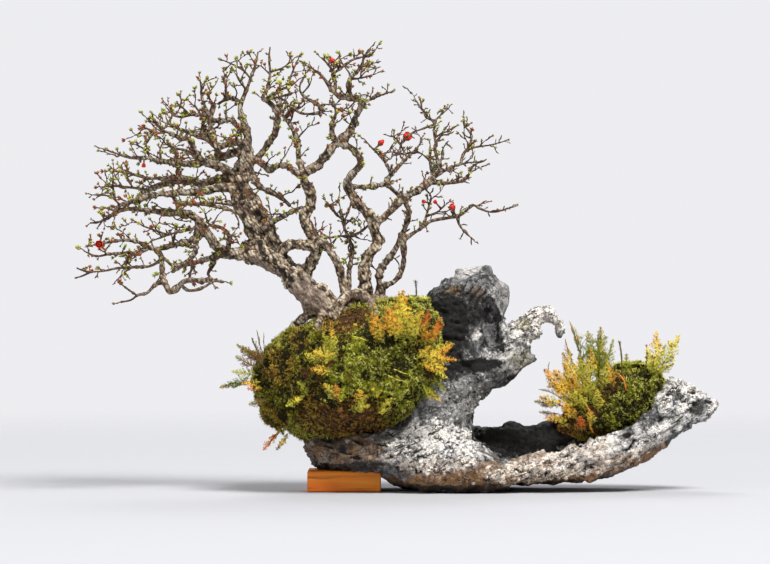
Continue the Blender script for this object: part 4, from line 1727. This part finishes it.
class BONSAI_OT_moss(bpy.types.Operator):
    """Lay the moss sheets, each with its pile of tufts, over the crumbly soil"""

    bl_idname = "bonsai.moss"
    bl_label = "Moss and soil"

    def execute(self, context):
        look = context.scene.bonsai_moss
        rng = np.random.default_rng(SEED)
        shaper = random.Random(SEED + 6)
        tufts = [tuft_shape(shaper, 4, 0.9) for _ in range(8)]
        finishes = {}
        covers = {name: [] for name in MOUNDS}
        for node, (mound_name, fresh) in MOSS_SHEETS.items():
            mound = MOUNDS[mound_name]
            if fresh not in finishes:
                finishes[fresh] = moss_finish(look, f"bonsai_moss_{len(finishes)}", fresh)
            mesh = fine_copy(node, SHEET_FACES, 2)
            carve(mesh, moss_relief(mound), "hollow", "brown", "light")
            corners = [face.vertices[:] for face in mesh.polygons]
            covers[mound_name].append(BVHTree.FromPolygons([v.co.copy() for v in mesh.vertices], corners))
            centre = np.array(mound.centre[:])

            def outside(middles, normals):
                return (unit(middles - centre) * normals).sum(1) > 0.12

            spots, normals, dips = skin_spots(mesh, look.tuft_spacing / MM, rng, outside)
            pile = Heap(*PILE_MARKS)
            brown, light = np.array([moss_stains(Vector(spot) / MM) for spot in spots]).T
            kinds = rng.integers(0, len(tufts), len(spots))
            ways = normals + rng.normal(0, 0.32, normals.shape) + [0, 0, 0.15]
            sizes = rng.uniform(2.2, 4.4, len(spots)) * (1.1 - 0.45 * dips) * MM
            given = {"tone": rng.random(len(spots)), "hollow": 0.8 * dips, "brown": brown, "light": light}
            for kind, tuft in enumerate(tufts):
                own = kinds == kind
                places = places_at(spots[own] - normals[own] * 0.4 * MM, ways[own], sizes[own], rng)
                pile.add(tuft, places, **{mark: values[own] for mark, values in given.items()})
            finish_piece(node + "_sheet", mesh, finishes[fresh], "moss", node)
            finish_piece(node + "_pile", pile, finishes[fresh], "moss")
        for node, mound_name in (("soil_left", "left"), ("soil_tail", "right")):
            self.soil(node, MOUNDS[mound_name], covers[mound_name], look, rng, tufts[0])
        return {"FINISHED"}

    def soil(self, node, mound, covers, look, rng, tuft):
        """The soil of one mound, with crumbs and thin moss where no sheet covers it."""
        mesh = fine_copy(node, SOIL_FACES, 1)
        carve(mesh, soil_relief, "hollow")
        spots, normals, dips = skin_spots(mesh, 2.6, rng, lambda middles, _: middles[:, 2] > 6)
        ways = unit(spots / MM - np.array(mound.centre[:]))
        bare = np.array([
            not any(cover.ray_cast(Vector(spot), Vector(way), COVER_REACH)[0] for cover in covers)
            for spot, way in zip(spots, ways)])
        spots, normals, ways, dips = spots[bare], normals[bare], ways[bare], dips[bare]
        earthy = np.array([bare_earth(Vector(spot) / MM) for spot in spots])
        chosen = rng.random(len(spots)) < 0.05 + 0.25 * earthy
        crumbs = Heap("hollow")
        sizes = rng.uniform(0.8, 2.4, chosen.sum()) * MM
        crumb = lump(0.35, 5, stretch=(1.2, 0.9, 0.7))
        crumbs.add(crumb, places_at(spots[chosen], normals[chosen], sizes, rng))
        brown, light = np.array([moss_stains(Vector(spot) / MM) for spot in spots]).T
        given = {"hollow": 0.5 * dips, "brown": np.maximum(brown, 0.8 * earthy), "light": light}
        grassy = ~chosen
        tilt = ways[grassy] + rng.normal(0, 0.4, (grassy.sum(), 3))
        sizes = rng.uniform(2.8, 5.4, grassy.sum()) * (1 - 0.3 * earthy[grassy]) * MM
        places = places_at(spots[grassy], tilt, sizes, rng)
        given = {mark: values[grassy] for mark, values in given.items()}
        thin = Heap(*PILE_MARKS)
        thin.add(tuft, places, tone=rng.random(grassy.sum()), **given)
        earth = soil_finish(look)
        finish_piece(node + "_ground", mesh, earth, "soil", node)
        finish_piece(node + "_crumbs", crumbs, earth, "soil")
        finish_piece(node + "_thin_moss", thin, moss_finish(look, "bonsai_thin_moss", 0.3), "moss")


FROND_SLOTS = {colour: "frond_" + colour for colour in ("green", "yellow", "gold", "red")}
FROND_SLOTS["brown"] = "stem_brown"
# How far the fronds of a clump and single fronds start over the soil, and the distance from one side
# spray and from one scale leaf to the next, in millimetres
CROWN_RISE = 1.5
SPRIG_RISE = 3.0
PINNA_STEP = 3.6
SCALE_STEP = 1.6


def frond_frame(normal, angle, lean):
    """Direction and face normal of a frond from its angle seen from the front and its lean out."""
    across = Vector((math.cos(math.radians(angle)), 0, math.sin(math.radians(angle))))
    way = (across * (1 - 0.5 * lean) + normal * lean).normalized()
    if way.dot(normal) < 0.3:
        way = (way + normal * (0.35 - way.dot(normal))).normalized()
    return way, (normal - way * normal.dot(way)).normalized()


def scale_leaf():
    """One flat pointed scale leaf along x, closed all round."""
    bm = spike(0.5, 1, 0.5)
    bmesh.ops.rotate(bm, verts=bm.verts, matrix=Matrix.Rotation(math.pi / 2, 3, "Y"))
    bmesh.ops.scale(bm, verts=bm.verts, vec=(1.0, 0.62, 0.22))
    return Shape.of(bm)


def lay_frond(heap, leaf, foot, ways, length, curl, rng):
    """A lacy frond: a rib with side sprays, all clothed in scale leaves."""
    way, facing = ways
    tone = rng.random()
    across = facing.cross(way).normalized()
    turned = Matrix((way, across, way.cross(across))).transposed().to_4x4()
    stand = Matrix.Translation((foot - way) * MM) @ turned @ Matrix.Scale(MM, 4)
    bend = math.radians(curl) / length
    bend = bend if abs(bend) > 1e-5 else 1e-5
    places, tips = [], []

    def bent(s):
        angle = bend * s
        arc = Vector((math.sin(angle), 0, 1 - math.cos(angle))) / bend
        return Matrix.Translation(arc) @ spun(-angle, "Y")

    def leaf_pair(spot, growth, size):
        for sign in (1, -1):
            turn, roll = spun(sign * rng.uniform(0.5, 0.85), "Z"), spun(rng.uniform(-0.35, 0.35), "X")
            places.append(np.array(stand @ spot @ turn @ roll @ Matrix.Scale(size, 4)))
            tips.append(growth)

    def spray(root, reach, growth, forks):
        s = 0.5
        while s < reach:
            spot = root @ Matrix.Translation((s, 0, -0.025 * s * s))
            share = s / reach
            leaf_pair(spot, min(1.0, growth + 0.3 * share), 2.7 * (1 - 0.3 * share))
            if forks and reach > 6 and rng.random() < 0.34 and 0.15 < share < 0.75:
                side = rng.choice((-1, 1))
                spray(spot @ spun(side * rng.uniform(0.6, 0.85), "Z"), reach * 0.42, growth + 0.2, False)
            s += SCALE_STEP

    stem = 0.16 * length
    s = stem
    while s < length * 0.97:
        t = (s - stem) / (length - stem)
        width = 0.36 * length * (1 - t) ** 0.75 * min(1.0, 0.55 + 2.2 * t)
        for side in (1, -1):
            angle = side * (0.95 - 0.35 * t + rng.uniform(-0.12, 0.12))
            root = bent(s) @ spun(rng.uniform(-0.28, 0.28), "X") @ spun(angle, "Z")
            spray(root, max(1.6, width * rng.uniform(0.75, 1.1)), t * 0.8, True)
        s += PINNA_STEP * rng.uniform(0.85, 1.2)
    s = stem * 0.3
    while s < length:
        leaf_pair(bent(s), s / length, 2.2)
        s += SCALE_STEP
    heap.add(leaf, places, tip=np.array(tips), tone=tone)
    rib = [stand @ bent(length * k / 6).translation / MM for k in range(7)]
    shape = tube_shape(rib, [0.55 - 0.06 * k for k in range(7)], 4)
    shape.marks["tip"] = shape.marks["along"] / length * 0.6
    heap.add(shape, tone=tone)


def frond_finish(look, colour_name):
    """Scale leaves that turn from the base to the tip of each frond."""
    made = Finish("bonsai_frond_" + colour_name, Roughness=0.5, Specular_IOR_Level=0.25)
    tip, tone = made.mark("tip"), made.mark("tone")
    first, middle, last = {
        "green": (look.green, look.green, look.gold),
        "yellow": ((look.green + look.yellow) * 0.5, look.yellow, look.gold),
        "gold": (look.yellow, look.gold, (look.gold + look.red) * 0.5),
        "red": (look.gold, look.red, look.red),
        "brown": (look.brown, look.brown, look.yellow * 0.35),
    }[colour_name]
    drift = tip + (tone - 0.5) * 0.8 + (made.clouds(110, 3) - 0.5) * 1.1
    young = [] if colour_name == "brown" else [(look.green, (1 - tone.rise(0.1, 0.35)) * 0.5)]
    return made.done(made.coats(
        first,
        (middle, drift.rise(0.1, 0.6)),
        (last, drift.rise(0.6, 1.0)),
        *young,
        (look.green * 0.3, (1 - tip.rise(0.0, 0.38)) * 0.68),
        ((0.07, 0.035, 0.002), (1 - made.clouds(380, 2).rise(0.37, 0.5)) * 0.9),
    ))


class BONSAI_OT_ferns(bpy.types.Operator):
    """Plant the clumps of spike-moss and the bare stems on both mounds"""

    bl_idname = "bonsai.ferns"
    bl_label = "Spike-moss"

    def execute(self, context):
        look = context.scene.bonsai_fern
        leaf = scale_leaf()
        finishes = {name: frond_finish(look, name) for name in FROND_SLOTS}
        for number, (name, (mound_name, (x, z), side, colour, fronds)) in enumerate(CLUMPS.items()):
            rng = random.Random(SEED + 20 + number)
            spot, normal = MOUNDS[mound_name].stance(x, z, side)
            top = spot + normal * CROWN_RISE
            heap = Heap("tip", "tone")
            heap.add(tube_shape([spot - normal * 6, spot, top + normal * 0.5], [1.2, 1.5, 0.9], 6), tone=0.5)
            for length, angle, lean, curl in fronds:
                lay_frond(heap, leaf, top, frond_frame(normal, angle, lean), length, curl, rng)
                for _ in range(1 if length > 30 else 2):
                    turn = angle + rng.choice((-1, 1)) * rng.uniform(14, 34)
                    ways = frond_frame(normal, turn, min(1.0, lean + rng.uniform(0.1, 0.5)))
                    lay_frond(heap, leaf, top, ways, length * rng.uniform(0.45, 0.7), curl, rng)
            finish_piece(name + "_fronds", heap, finishes[colour], FROND_SLOTS[colour], name)
        self.sprigs(leaf, finishes)
        self.stalks(finishes["brown"])
        return {"FINISHED"}

    def sprigs(self, leaf, finishes):
        """The single fronds between the clumps, and the rootlets, one piece for each colour."""
        rng = random.Random(SEED + 50)
        heaps = {colour: Heap("tip", "tone") for colour in FROND_SLOTS}
        for mound_name, side, rows in SPRIGS:
            for x, z, colour, length, angle, lean, curl in rows:
                spot, normal = MOUNDS[mound_name].stance(x, z, side)
                ways = frond_frame(normal, angle, lean)
                lay_frond(heaps[colour], leaf, spot + normal * SPRIG_RISE, ways, length, curl, rng)
        for mound_name, colour, width, line in ROOTLETS:
            raised = []
            for k, (x, z) in enumerate(line):
                spot, normal = MOUNDS[mound_name].stance(x, z, -1)
                rise = 1.6 + 2.2 * (k % 2) if 0 < k < len(line) - 1 else -1.0
                raised.append(spot + normal * rise)
            points, radii = rounded(raised, [width * (1 - 0.15 * k) for k in range(len(line))], 3.0)
            heaps[colour].add(tube_shape(points, radii, 5), tip=0.5, tone=0.5)
        for colour, heap in heaps.items():
            finish_piece("sprigs_" + colour, heap, finishes[colour], FROND_SLOTS[colour])

    def stalks(self, finish):
        """The bare stems, with a tuft of short bristles at the top."""
        rng = random.Random(SEED + 60)
        bristle = tuft_shape(rng, 5, 1.1)
        for name, (mound_name, (x, z), side, height, lean) in STALKS.items():
            foot = MOUNDS[mound_name].spot(x, z, side)
            tip = foot + Vector((lean, 0, height))
            bend = foot.lerp(tip, 0.5) + Vector((0.8, 0, 0))
            points, radii = rounded([foot - Vector((0, 0, 8)), foot, bend, tip], [0.9, 0.85, 0.75, 0.55], 2.0)
            radii = [r * (1 + 0.3 * noise.noise(p / 2.5)) for p, r in zip(points, radii)]
            heap = Heap("tip", "tone")
            heap.add(tube_shape(points, radii, 7), tone=0.4)
            for k, point in enumerate(points[3:]):
                near_top = k / len(points[3:])
                if name.endswith("bare") and near_top < 0.8:
                    continue
                turn = spun(rng.uniform(0, 6.28), "Z") @ spun(rng.uniform(-0.5, 0.5), "X")
                size = Matrix.Scale((1.2 + 2.6 * near_top) * MM, 4)
                heap.add(bristle, Matrix.Translation(point * MM) @ turn @ size, tone=0.7)
            finish_piece(name + "_stem", heap, finish, "stem_brown", name)


# Soft lights: place, size and power
LIGHTS = {
    "key": ((2.6, -4.2, 7.2), 3.4, 1020),
    "fill": ((-4.2, -3.8, 2.0), 3.0, 60),
    "top": ((-0.6, 4.2, 5.2), 3.0, 170),
}
FLOOR_RADIUS = 3.4


class BONSAI_OT_stage(bpy.types.Operator):
    """Set the pale floor, the soft light, the background and the camera"""

    bl_idname = "bonsai.stage"
    bl_label = "Stage"

    def execute(self, context):
        look = context.scene.bonsai_stage
        scene = context.scene
        camera = bpy.data.objects.new("camera", bpy.data.cameras.new("camera"))
        scene.collection.objects.link(camera)
        camera.location = Vector((VIEW_CENTRE[0], -VIEW_DISTANCE, VIEW_CENTRE[1])) * MM
        camera.rotation_euler = (math.pi / 2, 0, 0)
        camera.data.sensor_width = SENSOR_WIDTH
        camera.data.lens = SENSOR_WIDTH * VIEW_DISTANCE / VIEW_WIDTH
        scene.camera = camera
        self.floor(look)
        for name, row in LIGHTS.items():
            self.light(name, *row)
        self.background(scene, look)
        scene.view_settings.view_transform = "Standard"
        return {"FINISHED"}

    def light(self, name, place, size, power):
        """A square soft light that looks at the bonsai's middle."""
        data = bpy.data.lights.new(name, "AREA")
        data.energy = power
        data.size = size
        lamp = bpy.data.objects.new(name, data)
        lamp.location = place
        aim = Vector((0, 0, 0.2)) - lamp.location
        lamp.rotation_euler = aim.to_track_quat("-Z", "Y").to_euler()
        bpy.context.scene.collection.objects.link(lamp)

    def floor(self, look):
        """A round pale floor that fades into the background at its edge."""
        bm = bmesh.new()
        bmesh.ops.create_circle(bm, cap_ends=True, segments=96, radius=FLOOR_RADIUS)
        bmesh.ops.translate(bm, verts=bm.verts, vec=(0, 0, -0.0004))
        mesh = bpy.data.meshes.new("floor")
        bm.to_mesh(mesh)
        bm.free()
        made = Finish("bonsai_floor", Roughness=0.9)
        made.shader.inputs["Base Color"].default_value = rgba(look.floor)
        reach = made.node("ShaderNodeVectorMath", {"operation": "LENGTH"}, {0: made.place}, out="Value")
        made.feed("Alpha", 1 - reach.rise(0.7, 2.6))
        mesh.materials.append(made.material)
        floor = bpy.data.objects.new("floor", mesh)
        bpy.context.scene.collection.objects.link(floor)

    def background(self, scene, look):
        """An even pale background, with a dimmer even light on the bonsai."""
        world = bpy.data.worlds.new("bonsai_world")
        world.use_nodes = True
        nodes, links = world.node_tree.nodes, world.node_tree.links
        nodes.clear()
        seen_light = nodes.new("ShaderNodeBackground")
        seen_light.inputs["Color"].default_value = rgba(look.background)
        soft_light = nodes.new("ShaderNodeBackground")
        soft_light.inputs["Color"].default_value = (0.93, 0.95, 1.0, 1)
        soft_light.inputs["Strength"].default_value = 0.28
        path, mix, output = (
            nodes.new("ShaderNode" + kind) for kind in ("LightPath", "MixShader", "OutputWorld"))
        links.new(path.outputs["Is Camera Ray"], mix.inputs[0])
        links.new(soft_light.outputs[0], mix.inputs[1])
        links.new(seen_light.outputs[0], mix.inputs[2])
        links.new(mix.outputs[0], output.inputs[0])
        scene.world = world


PIECE_OPERATORS = (
    BONSAI_OT_stage, BONSAI_OT_stone, BONSAI_OT_block, BONSAI_OT_moss,
    BONSAI_OT_tree, BONSAI_OT_blooms, BONSAI_OT_ferns,
)


class BONSAI_PT_panel(bpy.types.Panel):
    """Lists the pieces of the bonsai in the sidebar"""

    bl_label = "Bonsai"
    bl_idname = "BONSAI_PT_panel"
    bl_space_type = "VIEW_3D"
    bl_region_type = "UI"
    bl_category = "Bonsai"

    def draw(self, context):
        for operator in PIECE_OPERATORS:
            self.layout.operator(operator.bl_idname)
        for name, group in SETTINGS.items():
            box = self.layout.box()
            for field in group.__annotations__:
                box.prop(getattr(context.scene, name), field)


CLASSES = (*SETTINGS.values(), *PIECE_OPERATORS, BONSAI_PT_panel)


def register():
    """Add the classes and the settings to Blender."""
    for cls in CLASSES:
        bpy.utils.register_class(cls)
    for name, group in SETTINGS.items():
        setattr(bpy.types.Scene, name, bpy.props.PointerProperty(type=group))


def unregister():
    """Take the classes and the settings away again."""
    for name in SETTINGS:
        delattr(bpy.types.Scene, name)
    for cls in reversed(CLASSES):
        bpy.utils.unregister_class(cls)


def main():
    """Build every piece."""
    register()
    bpy.ops.bonsai.stage()
    bpy.ops.bonsai.stone()
    bpy.ops.bonsai.block()
    bpy.ops.bonsai.moss()
    bpy.ops.bonsai.tree()
    bpy.ops.bonsai.blooms()
    bpy.ops.bonsai.ferns()


if __name__ == "__main__":
    main()
